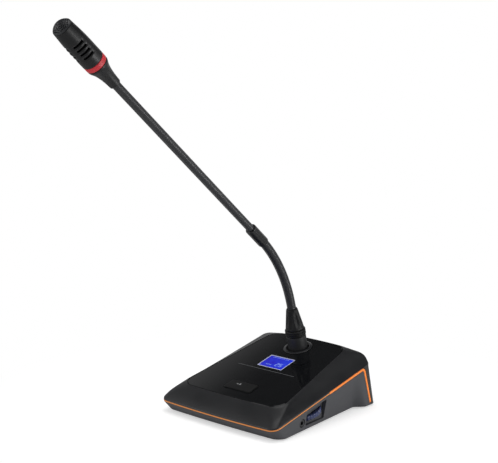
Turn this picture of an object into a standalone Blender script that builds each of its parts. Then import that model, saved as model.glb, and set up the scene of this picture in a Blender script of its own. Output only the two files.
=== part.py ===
# Conference delegate unit: a wedge-shaped desk base that carries a plug-in
# gooseneck microphone. Metres, +Z up, the talker's side towards -Y.
# The origin lies on the desk, under the middle of the base.
import math

import bmesh
import bpy
from mathutils import Matrix, Vector

# Clearances and working allowances
GAP = 0.0003              # between pieces that touch
SLIDE_GAP = 0.00045       # around pieces that move
OVERRUN = 0.006           # how far a cutter runs past what it cuts
MERGE = 0.000001

# Facet counts
CORNER_STEPS = 5
FRONT_STEPS = 4
REAR_STEPS = 3
APEX_STEPS = 4
PIN_SIDES = 12
SMALL_SIDES = 16
NECK_SIDES = 14
ROUND_SIDES = 24
RING_SIDES = 32
SIDE_SHARES = (0.16, 0.32, 0.5, 0.68, 0.865, 0.905, 0.944)

# Base: depths are taken from the front corners, heights from the desk
BASE_DEPTH = 0.150
BASE_HALF_WIDTH = 0.0725
BASE_REAR = 0.1465        # rear edge at belt height
BASE_WALL = 0.0022
FLOOR_WALL = 0.0026
FOOT_PROUD = 0.001
FRONT_BOW = 0.0019
CORNER_FRONT = 0.008
CORNER_REAR = 0.009
BELT_FRONT_HEIGHT = 0.01116
BELT_SLOPE = math.radians(12.23)
LIP_UP = 0.0017           # upright lip above the belt line
LIP_DOWN = 0.0008         # and below it

# Ground outline, tucked in under the belt
GROUND_FRONT = 0.0079
GROUND_INSET = 0.0006     # in from the belt, each side
GROUND_REAR_OUT = 0.0062  # out behind the belt
GROUND_CORNER_FRONT = 0.0095
GROUND_CORNER_REAR = 0.0028
WAIST_START = 0.017
WAIST_FROM_REAR = 0.0195
WAIST_INSET = 0.0082
FLUSH_FROM_REAR = 0.0075  # where the rear foot is flush with the belt again
SHOULDER_FROM_REAR = 0.0002   # rear edge halfway up the bevel
SHOULDER_CORNER_FRONT = 0.006
SHOULDER_CORNER_REAR = 0.0015
SHOULDER_SHARE = 0.62     # of the way out from the panel's rim to the belt
SHOULDER_LIFT = 0.0008    # at the rear, above halfway

# Sloping panel: distances up the slope from the front line, in its plane
PANEL_HEIGHT = 0.02159
PANEL_SLOPE = math.radians(13.66)
PANEL_FRONT = 0.01968
PANEL_FROM_REAR = 0.00107
PANEL_FRONT_INSET = 0.0102   # in from the belt, each side
PANEL_REAR_INSET = 0.02575
PANEL_FRONT_BOW = 0.00195
PANEL_REAR_BOW = 0.0026
PANEL_CORNER_FRONT = 0.012
PANEL_CORNER_REAR = 0.013
PANEL_THICK = 0.002
ROOF_THICK = 0.002
RIM_FLAT = 0.0006
RIM_OUT = 0.0024
RIM_DROP = 0.0008
ROOF_SPREAD = 0.0015

# Trim between the two shells
TRIM_THICK = 0.0009
ACCENT_THICK = 0.0025
ACCENT_START = 0.0794
APEX_FROM_REAR = 0.0128
APEX_RADIUS = 0.0035
REAR_LEAN = math.radians(18.3)
ACCENT_END_HEIGHT = 0.0039

# Display
DISPLAY_FROM_REAR = 0.05524   # down from the panel's rear edge to its middle
DISPLAY_WIDTH = 0.0313
DISPLAY_LENGTH = 0.0235
DISPLAY_BORDER = 0.0013
DISPLAY_SUNK = 0.0002
MODULE_WIDTH = 0.034
MODULE_LENGTH = 0.0265
MODULE_DEEP = 0.0057

# Talk button
BUTTON_UP = 0.03709
BUTTON_WIDTH = 0.0322
BUTTON_LENGTH = 0.0141
BUTTON_EDGE = 0.0004
BUTTON_PROUD = 0.0012     # above the panel at rest
BUTTON_FLANGE = 0.001
BUTTON_FLANGE_THICK = 0.0012
BUTTON_WALL = 0.0015
BUTTON_TRAVEL = 0.0008
BUTTON_STEM = 0.0022
SWITCH_SIDE = 0.0062
SWITCH_TALL = 0.003
SWITCH_CAP_RADIUS = 0.0016
SWITCH_CAP_TALL = 0.0024
SWITCH_FLOOR = 0.0006

# Circuit board under the panel
BOARD_THICK = 0.0016
BOARD_INSET = 0.0265
BOARD_FRONT = 0.026
BOARD_FROM_SOCKET = 0.0187
STANDOFF_RADIUS = 0.0025
STANDOFF_SIDE_INSET = 0.004
STANDOFF_INSET = 0.006

# Microphone socket
SOCKET_FROM_REAR = 0.02073    # down from the panel's rear edge to its axis
RING_OUTER = 0.0145
RING_RIDGE = 0.01255
RING_INNER = 0.0112
RING_RISE = 0.0012
RING_SPIGOT = 0.0127
SOCKET_BARREL = 0.0122
SOCKET_FLANGE = 0.0155
SOCKET_FLANGE_THICK = 0.002
SOCKET_DEEP = 0.0215
SOCKET_WELL = 0.015
SOCKET_CORE_DROP = 0.001
PIN_RADIUS = 0.0012
PIN_CIRCLE = 0.0042
PIN_LENGTH = 0.0095
PIN_COUNT = 3

# Microphone plug
PLUG_RADIUS = 0.0099
PLUG_TALL = 0.0145
PLUG_ROUND = 0.0012
PLUG_TUBE = 0.00945
PLUG_TUBE_WALL = 0.0012
PLUG_TUBE_DEEP = 0.0136
INSERT_THICK = 0.003
COLLAR_TOP = 0.021
COLLAR_RADIUS = 0.0103
COLLAR_GROOVE = 0.0007
COLLAR_RIBS = 3
BOOT_TOP = 0.0432
BOOT_FOOT_RADIUS = 0.0094
BOOT_TIP_RADIUS = 0.0056
BOOT_FLUTES = 10
BOOT_FLUTE_DEEP = 0.0009
BOOT_FLUTE_SHARES = (0.12, 0.82)
BOOT_STEPS = 6

# Bendy lower neck
NECK_RADIUS = 0.0045
NECK_RIB_DEEP = 0.00035
NECK_RIB_PITCH = 0.0018
RIB_SHARE = 0.5
NECK_BEND = 0.1414
NECK_SPIGOT = 0.005
NECK_LINKS = 6
BALL_SHARE = 0.77
NECK_HALF_GAP = 0.0007
BALL_STEPS = 4

# Sleeve and straight stem
STEM_ELEVATION = math.radians(40.05)
SLEEVE_RADIUS = 0.00545
SLEEVE_LENGTH = 0.024
SLEEVE_GRIP = 0.005
SLEEVE_BORE_DEEP = 0.008
SLEEVE_CHAMFER = 0.0009
STEM_RADIUS = 0.00385
STEM_BORE = 0.0024
STEM_HALF_GAP = 0.0006
HEAD_LINK = 0.016         # between the two bends under the head
HEAD_LINK_BELOW = 0.012   # from the upper bend to the head collar
STEM_RUN = 0.215          # from the sleeve's mouth to the head collar

# Microphone head, lengths from the foot of its collar
HEAD_SOCKET_DEEP = 0.006
HEAD_FOOT_RADIUS = 0.0051
HEAD_STEP = 0.004
HEAD_STEP_RADIUS = 0.00525
HEAD_CONE = 0.0113
HEAD_CONE_RADIUS = 0.00595
HEAD_FLARE = 0.0184
HEAD_FLARE_RADIUS = 0.00745
HEAD_SHOULDER = 0.0229
HEAD_SHOULDER_RADIUS = 0.0096
LIGHT_START = 0.0239
LIGHT_LENGTH = 0.0058
LIGHT_RADIUS = 0.00975
LIGHT_EDGE = 0.0005
HEAD_RADIUS = 0.00985
HEAD_TAPER_START = 0.052
HEAD_TOP = 0.069
HEAD_TOP_RADIUS = 0.0086
HEAD_BORE = 0.0076
HEAD_SPIGOT_IN = 0.004
SLOT_ROWS = 4
SLOT_FIRST = 0.0392
SLOT_PITCH = 0.0044
SLOT_WIDE = 0.0019
SLOT_HALF_ANGLE = math.radians(31)
SLOT_TURNS = (math.radians(-28), math.radians(-118), math.radians(152))
SLOT_ARC_STEPS = 4
CAP_TIP = 0.0741
CAP_SHOULDER = 0.0704
CAP_SHOULDER_RADIUS = 0.0079
CAP_TIP_RADIUS = 0.006
CAP_WALL = 0.001
CAP_SPIGOT = 0.0015
GRILLE_DOME = 0.0019
GRILLE_HOLE = 0.00075
GRILLE_PITCH = 0.0024
GRILLE_ROWS = 2
GRILLE_HOLE_SIDES = 6
CAPSULE_RADIUS = 0.0049
CAPSULE_START = 0.0585
CAPSULE_LENGTH = 0.0085
MUFF_INSET = 0.001

# Side controls
POCKET_FRONT = 0.046
POCKET_REAR = 0.0755
POCKET_FLOOR = 0.005
POCKET_TOP_LIP = 0.0035
POCKET_DEEP = 0.006
POCKET_WALL = 0.0022
POCKET_ROUND = 0.0015
POCKET_ROUND_STEPS = 3
WHEEL_RADIUS = 0.0165
WHEEL_THICK = 0.0045
WHEEL_INSET = 0.018
WHEEL_DEPTH = 0.0628
WHEEL_HEIGHT = 0.012
WHEEL_TEETH = 34
WHEEL_TOOTH = 0.0005
WHEEL_BORE = 0.003
WHEEL_CAP = 0.0012
DIAL_SIDE = 0.012
DIAL_TALL = 0.0018
DIAL_BOARD_THICK = 0.001
DIAL_BOARD_HALF = 0.008
DIAL_BOSS_RADIUS = 0.002
DIAL_BOSS_BACK = 0.0065   # from the wheel's axis
DIAL_BOSS_UP = 0.006
JACK_DEPTH = 0.0404
JACK_HEIGHT = 0.009
JACK_SUNK = 0.0018
JACK_BARREL = 0.0036
JACK_WELL = 0.0041
JACK_BORE = 0.0018
JACK_BORE_DEEP = 0.009
JACK_BODY_LONG = 0.0105
JACK_SETBACK = 0.0016     # from the wall's inside, which leans in at the floor
JACK_BODY_WIDE = 0.0066
JACK_BODY_TALL = 0.0085

# Link sockets at the rear
LINK_X = 0.0098
LINK_WIDE = 0.0156
LINK_TALL = 0.0132
LINK_DEEP = 0.021
LINK_PROUD = 0.002        # behind the belt's rear edge
LINK_MOUTH_WIDE = 0.0119
LINK_MOUTH_TALL = 0.0068
LINK_NOTCH_WIDE = 0.0062
LINK_NOTCH_TALL = 0.0024
LINK_MOUTH_DEEP = 0.0135
LINK_MOUTH_LIFT = 0.0022
LINK_BOARD_HALF = 0.026
LINK_BOARD_LONG = 0.027
LINK_BOARD_FROM_REAR = 0.0015
LINK_BOARD_HEIGHT = 0.0056
LINK_BOSS_X = 0.021
LINK_BOSS_FROM_REAR = 0.024
LINK_BOSS_RADIUS = 0.003

# Weight, feet and case screws
BALLAST_INSET = 0.0345
BALLAST_FRONT = 0.044
BALLAST_FROM_REAR = 0.0345
BALLAST_THICK = 0.004
BALLAST_CORNER = 0.004
PEG_INSET = 0.012
PEG_RADIUS = 0.003
PEG_PROUD = 0.0008
PAD_RADIUS = 0.006
PAD_SUNK = 0.001
PAD_EDGE = 0.0003
PAD_FRONT = 0.019
PAD_FRONT_INSET = 0.0115
PAD_FROM_REAR = 0.0125
PAD_REAR_INSET = 0.0205
POST_FRONT = 0.028
POST_FRONT_INSET = 0.0205
POST_FROM_REAR = 0.0285
POST_REAR_INSET = 0.0285
POST_RADIUS = 0.0035
POST_BITE = 0.001
BOSS_RADIUS = 0.005
BOSS_TALL = 0.002
SCREW_HEAD_RADIUS = 0.0028
SCREW_HEAD_TALL = 0.0016
SCREW_RADIUS = 0.0014
SCREW_LENGTH = 0.012
SCREW_SUNK = 0.0022
DRIVE_RADIUS = 0.0013
DRIVE_DEEP = 0.0009
DRIVE_SIDES = 6

# Values that follow from the ones above
GROUND_HALF_WIDTH = BASE_HALF_WIDTH - GROUND_INSET
GROUND_REAR = BASE_REAR + GROUND_REAR_OUT
WAIST_END = BASE_REAR - WAIST_FROM_REAR
FOOT_FLUSH = BASE_REAR - FLUSH_FROM_REAR
SHOULDER_REAR = BASE_REAR - SHOULDER_FROM_REAR
PANEL_REAR = BASE_REAR - PANEL_FROM_REAR
APEX = BASE_REAR - APEX_FROM_REAR
DISPLAY_UP = PANEL_REAR - DISPLAY_FROM_REAR
SOCKET_UP = PANEL_REAR - SOCKET_FROM_REAR
BOARD_REAR = SOCKET_UP - BOARD_FROM_SOCKET
LINK_FACE = BASE_REAR + LINK_PROUD
LINK_BOARD_REAR = BASE_REAR - LINK_BOARD_FROM_REAR
LINK_BOARD_FRONT = LINK_BOARD_REAR - LINK_BOARD_LONG
LINK_BOSS_DEPTH = BASE_REAR - LINK_BOSS_FROM_REAR
BALLAST_REAR = BASE_REAR - BALLAST_FROM_REAR
PAD_REAR = BASE_REAR - PAD_FROM_REAR
POST_REAR = BASE_REAR - POST_FROM_REAR
PANEL_FRONT_HALF = BASE_HALF_WIDTH - PANEL_FRONT_INSET
PANEL_REAR_HALF = BASE_HALF_WIDTH - PANEL_REAR_INSET
BOARD_HALF_WIDTH = BASE_HALF_WIDTH - BOARD_INSET
STANDOFF_X = BOARD_HALF_WIDTH - STANDOFF_SIDE_INSET
POCKET_BACK = BASE_HALF_WIDTH - POCKET_DEEP
WHEEL_X = BASE_HALF_WIDTH - WHEEL_INSET
DIAL_BOSS_X = WHEEL_X - DIAL_BOSS_BACK
JACK_FACE = BASE_HALF_WIDTH - JACK_SUNK
BALLAST_HALF_WIDTH = BASE_HALF_WIDTH - BALLAST_INSET
PEG_X = BALLAST_HALF_WIDTH - PEG_INSET
PAD_FRONT_X = BASE_HALF_WIDTH - PAD_FRONT_INSET
PAD_REAR_X = BASE_HALF_WIDTH - PAD_REAR_INSET
POST_FRONT_X = BASE_HALF_WIDTH - POST_FRONT_INSET
POST_REAR_X = BASE_HALF_WIDTH - POST_REAR_INSET
SHELL_FLOOR = FOOT_PROUD + FLOOR_WALL
ROOF_UNDER = PANEL_THICK + GAP + ROOF_THICK
BOARD_TOP = PANEL_THICK + GAP + MODULE_DEEP + GAP
SOCKET_TOP = PANEL_THICK + GAP
RIGHT_ANGLE = math.radians(90)
FULL_TURN = math.radians(360)


# Scene helpers

def clear_scene():
    """Take every object out of the scene."""
    for item in list(bpy.data.objects):
        bpy.data.objects.remove(item, do_unlink=True)


def linear(channel):
    """Turn one display colour value into a linear one."""
    if channel <= 0.04045:
        return channel / 12.92
    return ((channel + 0.055) / 1.055) ** 2.4


def colour(hex_code):
    """Read a display colour written as six hexadecimal digits."""
    value = int(hex_code, 16)
    parts = ((value >> 16) & 255, (value >> 8) & 255, value & 255)
    return tuple(linear(part / 255) for part in parts) + (1.0,)


def paint(item, hex_code, roughness, metallic=0.0, glow=0.0):
    """Give the piece its own material."""
    material = bpy.data.materials.new(item.name)
    material.use_nodes = True
    shader = material.node_tree.nodes["Principled BSDF"]
    shader.inputs["Base Color"].default_value = colour(hex_code)
    shader.inputs["Roughness"].default_value = roughness
    shader.inputs["Metallic"].default_value = metallic
    if glow:
        shader.inputs["Emission Color"].default_value = colour(hex_code)
        shader.inputs["Emission Strength"].default_value = glow
    item.data.materials.clear()
    item.data.materials.append(material)
    return item


def add_empty(name, location, tilt):
    """A frame that pieces are placed in, turned about X."""
    frame = bpy.data.objects.new(name, None)
    frame.location = location
    frame.rotation_euler = (tilt, 0, 0)
    bpy.context.scene.collection.objects.link(frame)
    return frame


def add_object(name, bm, location=(0, 0, 0), tilt=0, parent=None, smooth=None):
    """Turn a bmesh into an object with outward faces."""
    bmesh.ops.recalc_face_normals(bm, faces=bm.faces)
    mesh = bpy.data.meshes.new(name)
    bm.to_mesh(mesh)
    bm.free()
    if smooth:
        mesh.shade_smooth()
        mesh.set_sharp_from_angle(angle=smooth)
    item = bpy.data.objects.new(name, mesh)
    item.location = location
    item.rotation_euler = (tilt, 0, 0)
    item.parent = parent
    bpy.context.scene.collection.objects.link(item)
    return item


def as_cutter(item):
    """Keep a piece as a guide for Boolean modifiers only."""
    item.hide_render = True
    item.display_type = "WIRE"
    return item


def combine(item, other, operation="DIFFERENCE"):
    """Cut, join or keep the common part with another closed piece."""
    step = item.modifiers.new(operation.title() + " " + other.name, "BOOLEAN")
    step.operation = operation
    step.solver = "EXACT"
    step.object = other
    return item


def round_edges(item, width, segments=1, angle=math.radians(40)):
    """Break the sharp edges of a piece."""
    step = item.modifiers.new("Edges", "BEVEL")
    step.width = width
    step.segments = segments
    step.limit_method = "ANGLE"
    step.angle_limit = angle
    return item


# Shapes

def add_box(bm, low, high):
    """A box between two corners."""
    size = Vector(high) - Vector(low)
    middle = (Vector(high) + Vector(low)) / 2
    made = bmesh.ops.create_cube(bm, size=1)["verts"]
    bmesh.ops.scale(bm, vec=size, verts=made)
    bmesh.ops.translate(bm, vec=middle, verts=made)
    return made


def box(low, high):
    bm = bmesh.new()
    add_box(bm, low, high)
    return bm


def add_rod(bm, radius, low, high, sides, middle=(0, 0)):
    """An upright cylinder between two heights."""
    place = Matrix.Translation((middle[0], middle[1], (low + high) / 2))
    made = bmesh.ops.create_cone(bm, cap_ends=True, segments=sides, radius1=radius,
                                 radius2=radius, depth=high - low, matrix=place)
    return made["verts"]


def rod(radius, low, high, sides, middle=(0, 0)):
    bm = bmesh.new()
    add_rod(bm, radius, low, high, sides, middle)
    return bm


def turned(profile, sides, ring=False):
    """Spin a profile of (radius, height) points round the Z axis.

    A profile starts and ends on the axis, unless it is a closed ring.
    """
    bm = bmesh.new()
    verts = [bm.verts.new((radius, 0, height)) for radius, height in profile]
    pairs = list(zip(verts, verts[1:]))
    if ring:
        pairs.append((verts[-1], verts[0]))
    edges = [bm.edges.new(pair) for pair in pairs]
    bmesh.ops.spin(bm, geom=verts + edges, cent=(0, 0, 0), axis=(0, 0, 1),
                   angle=FULL_TURN, steps=sides, use_duplicate=False)
    bmesh.ops.remove_doubles(bm, verts=bm.verts, dist=MERGE)
    return bm


def prism(outline, axis, low, high):
    """Run a flat outline along an axis, from low to high.

    The outline holds (x, y) points for axis Z and (y, z) points for axis X.
    """
    bm = bmesh.new()
    if axis == "Z":
        verts = [bm.verts.new((u, v, low)) for u, v in outline]
        run = (0, 0, high - low)
    else:
        verts = [bm.verts.new((low, u, v)) for u, v in outline]
        run = (high - low, 0, 0)
    face = bm.faces.new(verts)
    top = bmesh.ops.extrude_face_region(bm, geom=[face])["geom"]
    bmesh.ops.translate(bm, vec=run, verts=[v for v in top if isinstance(v, bmesh.types.BMVert)])
    return bm


def fillet(before, corner, after, radius, steps):
    """Points of the arc that rounds a corner of a flat outline."""
    corner = Vector(corner)
    first = (Vector(before) - corner).normalized()
    second = (Vector(after) - corner).normalized()
    half = first.angle(second) / 2
    reach = radius / math.tan(half)
    centre = corner + (first + second).normalized() * radius / math.sin(half)
    start = corner + first * reach - centre
    end = corner + second * reach - centre
    sweep = start.angle(end)
    points = []
    for k in range(steps + 1):
        turn = sweep * k / steps
        points.append(centre + (start * math.sin(sweep - turn) + end * math.sin(turn)) / math.sin(sweep))
    return points


def rounded(corners, radius, steps):
    """A flat outline with each corner rounded."""
    count = len(corners)
    points = []
    for k, corner in enumerate(corners):
        points += fillet(corners[k - 1], corner, corners[(k + 1) % count], radius, steps)
    return points


def rounded_box(half_x, half_y, radius, steps):
    corners = ((-half_x, -half_y), (half_x, -half_y), (half_x, half_y), (-half_x, half_y))
    return rounded(corners, radius, steps)


def ease(share):
    """A smooth step from nothing to one."""
    share = min(max(share, 0), 1)
    return share * share * (3 - 2 * share)


def wedge_outline(front_half, rear_half, front, rear, front_bow, rear_bow,
                  front_corner, rear_corner, inset=None):
    """Closed outline of the base at one level, with bowed front and rear edges.

    All levels have the same count of points, so that they can be lofted.
    """
    tip_front, tip_rear = Vector((front_half, front)), Vector((rear_half, rear))
    arc_front = fillet((0, front), tip_front, tip_rear, front_corner, CORNER_STEPS)
    arc_rear = fillet(tip_front, tip_rear, (0, rear), rear_corner, CORNER_STEPS)
    half = [Vector((arc_front[0].x * k / FRONT_STEPS, front)) for k in range(FRONT_STEPS)]
    half += arc_front
    half += [arc_front[-1].lerp(arc_rear[0], share) for share in SIDE_SHARES]
    half += arc_rear
    half += [Vector((arc_rear[-1].x * (REAR_STEPS - k) / REAR_STEPS, rear))
             for k in range(1, REAR_STEPS + 1)]
    for point in half:
        ahead = point.y < (front + rear) / 2
        bow, width = (-front_bow, front_half) if ahead else (rear_bow, rear_half)
        fall = 1 - min(abs(point.x) / width, 1) ** 2
        if inset:
            point.x -= inset(point.y) * ease(point.x / width)
        point.y += bow * fall if ahead else bow * (fall - 1)
    mirrored = [Vector((-point.x, point.y)) for point in reversed(half[1:-1])]
    return half + mirrored


def depth(distance):
    """Model position of a distance from the base's front corners."""
    return distance - BASE_DEPTH / 2


def belt_height(distance):
    return BELT_FRONT_HEIGHT + math.tan(BELT_SLOPE) * distance


def ground_inset(distance):
    """How far the wall is tucked in at the desk, along the side."""
    if distance < WAIST_END:
        return WAIST_INSET * max(distance - WAIST_START, 0) / (WAIST_END - WAIST_START)
    back = (distance - WAIST_END) / (FOOT_FLUSH - WAIST_END)
    return WAIST_INSET * (1 - ease(back))


def ground_ring(shrink, front, height):
    """Ring of the body at the desk, drawn in by shrink."""
    flat = wedge_outline(GROUND_HALF_WIDTH - shrink, GROUND_HALF_WIDTH - shrink, front,
                         GROUND_REAR - shrink, FRONT_BOW, 0, GROUND_CORNER_FRONT,
                         GROUND_CORNER_REAR, ground_inset)
    return [Vector((p.x, depth(p.y), height)) for p in flat]


def belt_ring(shrink, rise):
    """Ring of the body along the belt line, drawn in by shrink."""
    flat = wedge_outline(BASE_HALF_WIDTH - shrink, BASE_HALF_WIDTH - shrink, shrink,
                         BASE_REAR - shrink, FRONT_BOW, 0, CORNER_FRONT - shrink,
                         CORNER_REAR - shrink)
    return [Vector((p.x, depth(p.y), belt_height(p.y) + rise)) for p in flat]


def panel_outline(grow):
    """Outline of the sloping panel in its own plane, grown by grow."""
    return wedge_outline(PANEL_FRONT_HALF + grow, PANEL_REAR_HALF + grow, PANEL_FRONT - grow,
                         PANEL_REAR + grow, PANEL_FRONT_BOW, PANEL_REAR_BOW,
                         PANEL_CORNER_FRONT + grow, PANEL_CORNER_REAR + grow)


def panel_point(x, up, over):
    """World place of a point given in the panel's frame."""
    turn = Matrix.Rotation(PANEL_SLOPE, 3, "X")
    return Vector((0, depth(0), PANEL_HEIGHT)) + turn @ Vector((x, up, over))


def panel_ring(grow, over):
    return [panel_point(p.x, p.y, over) for p in panel_outline(grow)]


def shoulder_ring():
    """Ring halfway up the bevel, which bulges out a little past flat."""
    front_half = BASE_HALF_WIDTH - (PANEL_FRONT_INSET - RIM_OUT) * (1 - SHOULDER_SHARE)
    rear_half = BASE_HALF_WIDTH - (PANEL_REAR_INSET - RIM_OUT) * (1 - SHOULDER_SHARE)
    front = (PANEL_FRONT - RIM_OUT) * math.cos(PANEL_SLOPE) * (1 - SHOULDER_SHARE)
    flat = wedge_outline(front_half, rear_half, front, SHOULDER_REAR, FRONT_BOW, 0,
                         SHOULDER_CORNER_FRONT, SHOULDER_CORNER_REAR)
    ring = []
    for p in flat:
        rim_height = PANEL_HEIGHT + math.tan(PANEL_SLOPE) * p.y - RIM_DROP
        height = (belt_height(p.y) + LIP_UP + rim_height) / 2
        ring.append(Vector((p.x, depth(p.y), height + SHOULDER_LIFT * p.y / SHOULDER_REAR)))
    return ring


def loft(rings):
    """Closed body through rings of equal count, capped at both ends."""
    bm = bmesh.new()
    rows = [[bm.verts.new(point) for point in ring] for ring in rings]
    for low, high in zip(rows, rows[1:]):
        for k in range(len(low)):
            bm.faces.new((low[k - 1], low[k], high[k], high[k - 1]))
    bm.faces.new(rows[0])
    bm.faces.new(rows[-1])
    return bm


def outer_body():
    """The closed outer form of the base."""
    return loft([ground_ring(0, GROUND_FRONT, FOOT_PROUD), belt_ring(0, -LIP_DOWN),
                 belt_ring(0, LIP_UP), shoulder_ring(), panel_ring(RIM_OUT, -RIM_DROP),
                 panel_ring(RIM_FLAT, 0)])


def inner_body():
    """The hollow inside of the base."""
    return loft([ground_ring(BASE_WALL, GROUND_FRONT + BASE_WALL - LIP_DOWN, SHELL_FLOOR),
                 belt_ring(BASE_WALL, 0), panel_ring(ROOF_SPREAD, -ROOF_UNDER)])


# The seam that the trim lies in: along the belt, round the apex, down the rear

def on_belt(distance, off):
    """Point on the belt line, moved off it squarely."""
    normal = Vector((-math.sin(BELT_SLOPE), math.cos(BELT_SLOPE)))
    return Vector((depth(distance), belt_height(distance))) + normal * off


def on_rear(height, off):
    """Point on the seam's rear run at a height, moved off it squarely."""
    back = (belt_height(APEX) - height) * math.tan(REAR_LEAN)
    normal = Vector((math.cos(REAR_LEAN), math.sin(REAR_LEAN)))
    return Vector((depth(APEX) + back, height)) + normal * off


def apex_arc(off):
    """Rounded corner of the seam, moved off the seam's middle line."""
    corner = on_belt(APEX, 0)
    arc = fillet(on_belt(0, 0), corner, on_rear(0, 0), APEX_RADIUS, APEX_STEPS)
    turn = RIGHT_ANGLE - REAR_LEAN + BELT_SLOPE
    points = []
    for k, point in enumerate(arc):
        angle = RIGHT_ANGLE + BELT_SLOPE - turn * k / APEX_STEPS
        points.append(point + Vector((math.cos(angle), math.sin(angle))) * off)
    return points


def seam_outline(side):
    """Everything under the seam, with its upper edge on one side of the trim."""
    thin = side * (TRIM_THICK / 2 + GAP)
    thick = side * (ACCENT_THICK / 2 + GAP)
    foot = ACCENT_END_HEIGHT - GAP
    ahead, under = on_belt(-OVERRUN, thin), -OVERRUN
    return [Vector((ahead.x, under)), ahead, on_belt(ACCENT_START, thin),
            on_belt(ACCENT_START, thick), *apex_arc(thick), on_rear(foot, thick),
            on_rear(foot, side * GAP / 2), on_rear(under, side * GAP / 2)]


def seam_prism(side):
    reach = BASE_HALF_WIDTH + OVERRUN
    return prism(seam_outline(side), "X", -reach, reach)


# Base shells

def post_places():
    """Where the case posts and their screws stand."""
    return [(side * x, depth(distance)) for x, distance in
            ((POST_FRONT_X, POST_FRONT), (POST_REAR_X, POST_REAR)) for side in (-1, 1)]


def pad_places():
    """Where the rubber feet stand."""
    return [(side * x, depth(distance)) for x, distance in
            ((PAD_FRONT_X, PAD_FRONT), (PAD_REAR_X, PAD_REAR)) for side in (-1, 1)]


def roof_height(y):
    """Height of the roof's underside over a place."""
    under = panel_point(0, 0, -ROOF_UNDER)
    return under.z + (y - under.y) * math.tan(PANEL_SLOPE)


def top_cavity():
    """Inside of the upper shell, less its posts and standoffs."""
    hollow = as_cutter(add_object("top_cavity", inner_body()))
    posts = bmesh.new()
    for x, y in post_places():
        add_rod(posts, POST_RADIUS, SHELL_FLOOR + BOSS_TALL + GAP, roof_height(y) + POST_BITE,
                SMALL_SIDES, (x, y))
    return combine(hollow, as_cutter(add_object("post_bodies", posts)))


def board_holders(panel):
    """Short legs under the roof that the circuit board hangs on."""
    legs = bmesh.new()
    for side in (-1, 1):
        for up in (BOARD_FRONT + STANDOFF_INSET, BOARD_REAR - STANDOFF_INSET):
            add_rod(legs, STANDOFF_RADIUS, GAP - BOARD_TOP, POST_BITE - ROOF_UNDER, PIN_SIDES,
                    (side * STANDOFF_X, up))
    return as_cutter(add_object("board_legs", legs, parent=panel))


def panel_recess(panel):
    """Seat of the panel plate in the upper shell."""
    recess = prism(panel_outline(GAP), "Z", -PANEL_THICK - GAP, OVERRUN)
    return as_cutter(add_object("panel_seat", recess, parent=panel))


def roof_openings(panel):
    """Ways through the roof for the display, the button and the socket."""
    cuts = bmesh.new()
    low, high = -ROOF_UNDER - OVERRUN / 2, OVERRUN
    half_x, half_y = MODULE_WIDTH / 2 + GAP, MODULE_LENGTH / 2 + GAP
    add_box(cuts, (-half_x, DISPLAY_UP - half_y, low), (half_x, DISPLAY_UP + half_y, high))
    half_x = BUTTON_WIDTH / 2 + BUTTON_FLANGE + SLIDE_GAP
    half_y = BUTTON_LENGTH / 2 + BUTTON_FLANGE + SLIDE_GAP
    add_box(cuts, (-half_x, BUTTON_UP - half_y, low), (half_x, BUTTON_UP + half_y, high))
    add_rod(cuts, SOCKET_BARREL + GAP, low, high, ROUND_SIDES, (0, SOCKET_UP))
    return as_cutter(add_object("roof_openings", cuts, parent=panel))


def shell_windows():
    """Pilot holes in the posts, and the windows for the link sockets."""
    cuts = bmesh.new()
    for x, y in post_places():
        add_rod(cuts, SCREW_RADIUS + GAP, 0, SCREW_LENGTH + SHELL_FLOOR, PIN_SIDES, (x, y))
    low = LINK_BOARD_HEIGHT + BOARD_THICK
    for side in (-1, 1):
        half = LINK_WIDE / 2 + GAP
        add_box(cuts, (side * LINK_X - half, depth(LINK_FACE - LINK_DEEP), low),
                (side * LINK_X + half, depth(GROUND_REAR) + OVERRUN, low + GAP + LINK_TALL + GAP))
    return as_cutter(add_object("shell_windows", cuts))


def make_top_shell(panel):
    shell = add_object("top_shell", outer_body(), smooth=math.radians(24))
    combine(shell, as_cutter(add_object("seam_over", seam_prism(1))))
    cavity = top_cavity()
    combine(cavity, board_holders(panel))
    combine(shell, cavity)
    combine(shell, panel_recess(panel))
    combine(shell, roof_openings(panel))
    combine(shell, shell_windows())
    return paint(shell, "26272A", 0.38)


def pocket_outline(wall):
    """Outline of the side pocket, grown by wall."""
    front, rear = POCKET_FRONT - wall, POCKET_REAR + wall
    floor, lip = POCKET_FLOOR - wall, POCKET_TOP_LIP - wall
    corners = ((depth(front), floor), (depth(rear), floor),
               (depth(rear), belt_height(rear) - lip), (depth(front), belt_height(front) - lip))
    return rounded(corners, POCKET_ROUND + wall, POCKET_ROUND_STEPS)


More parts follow.
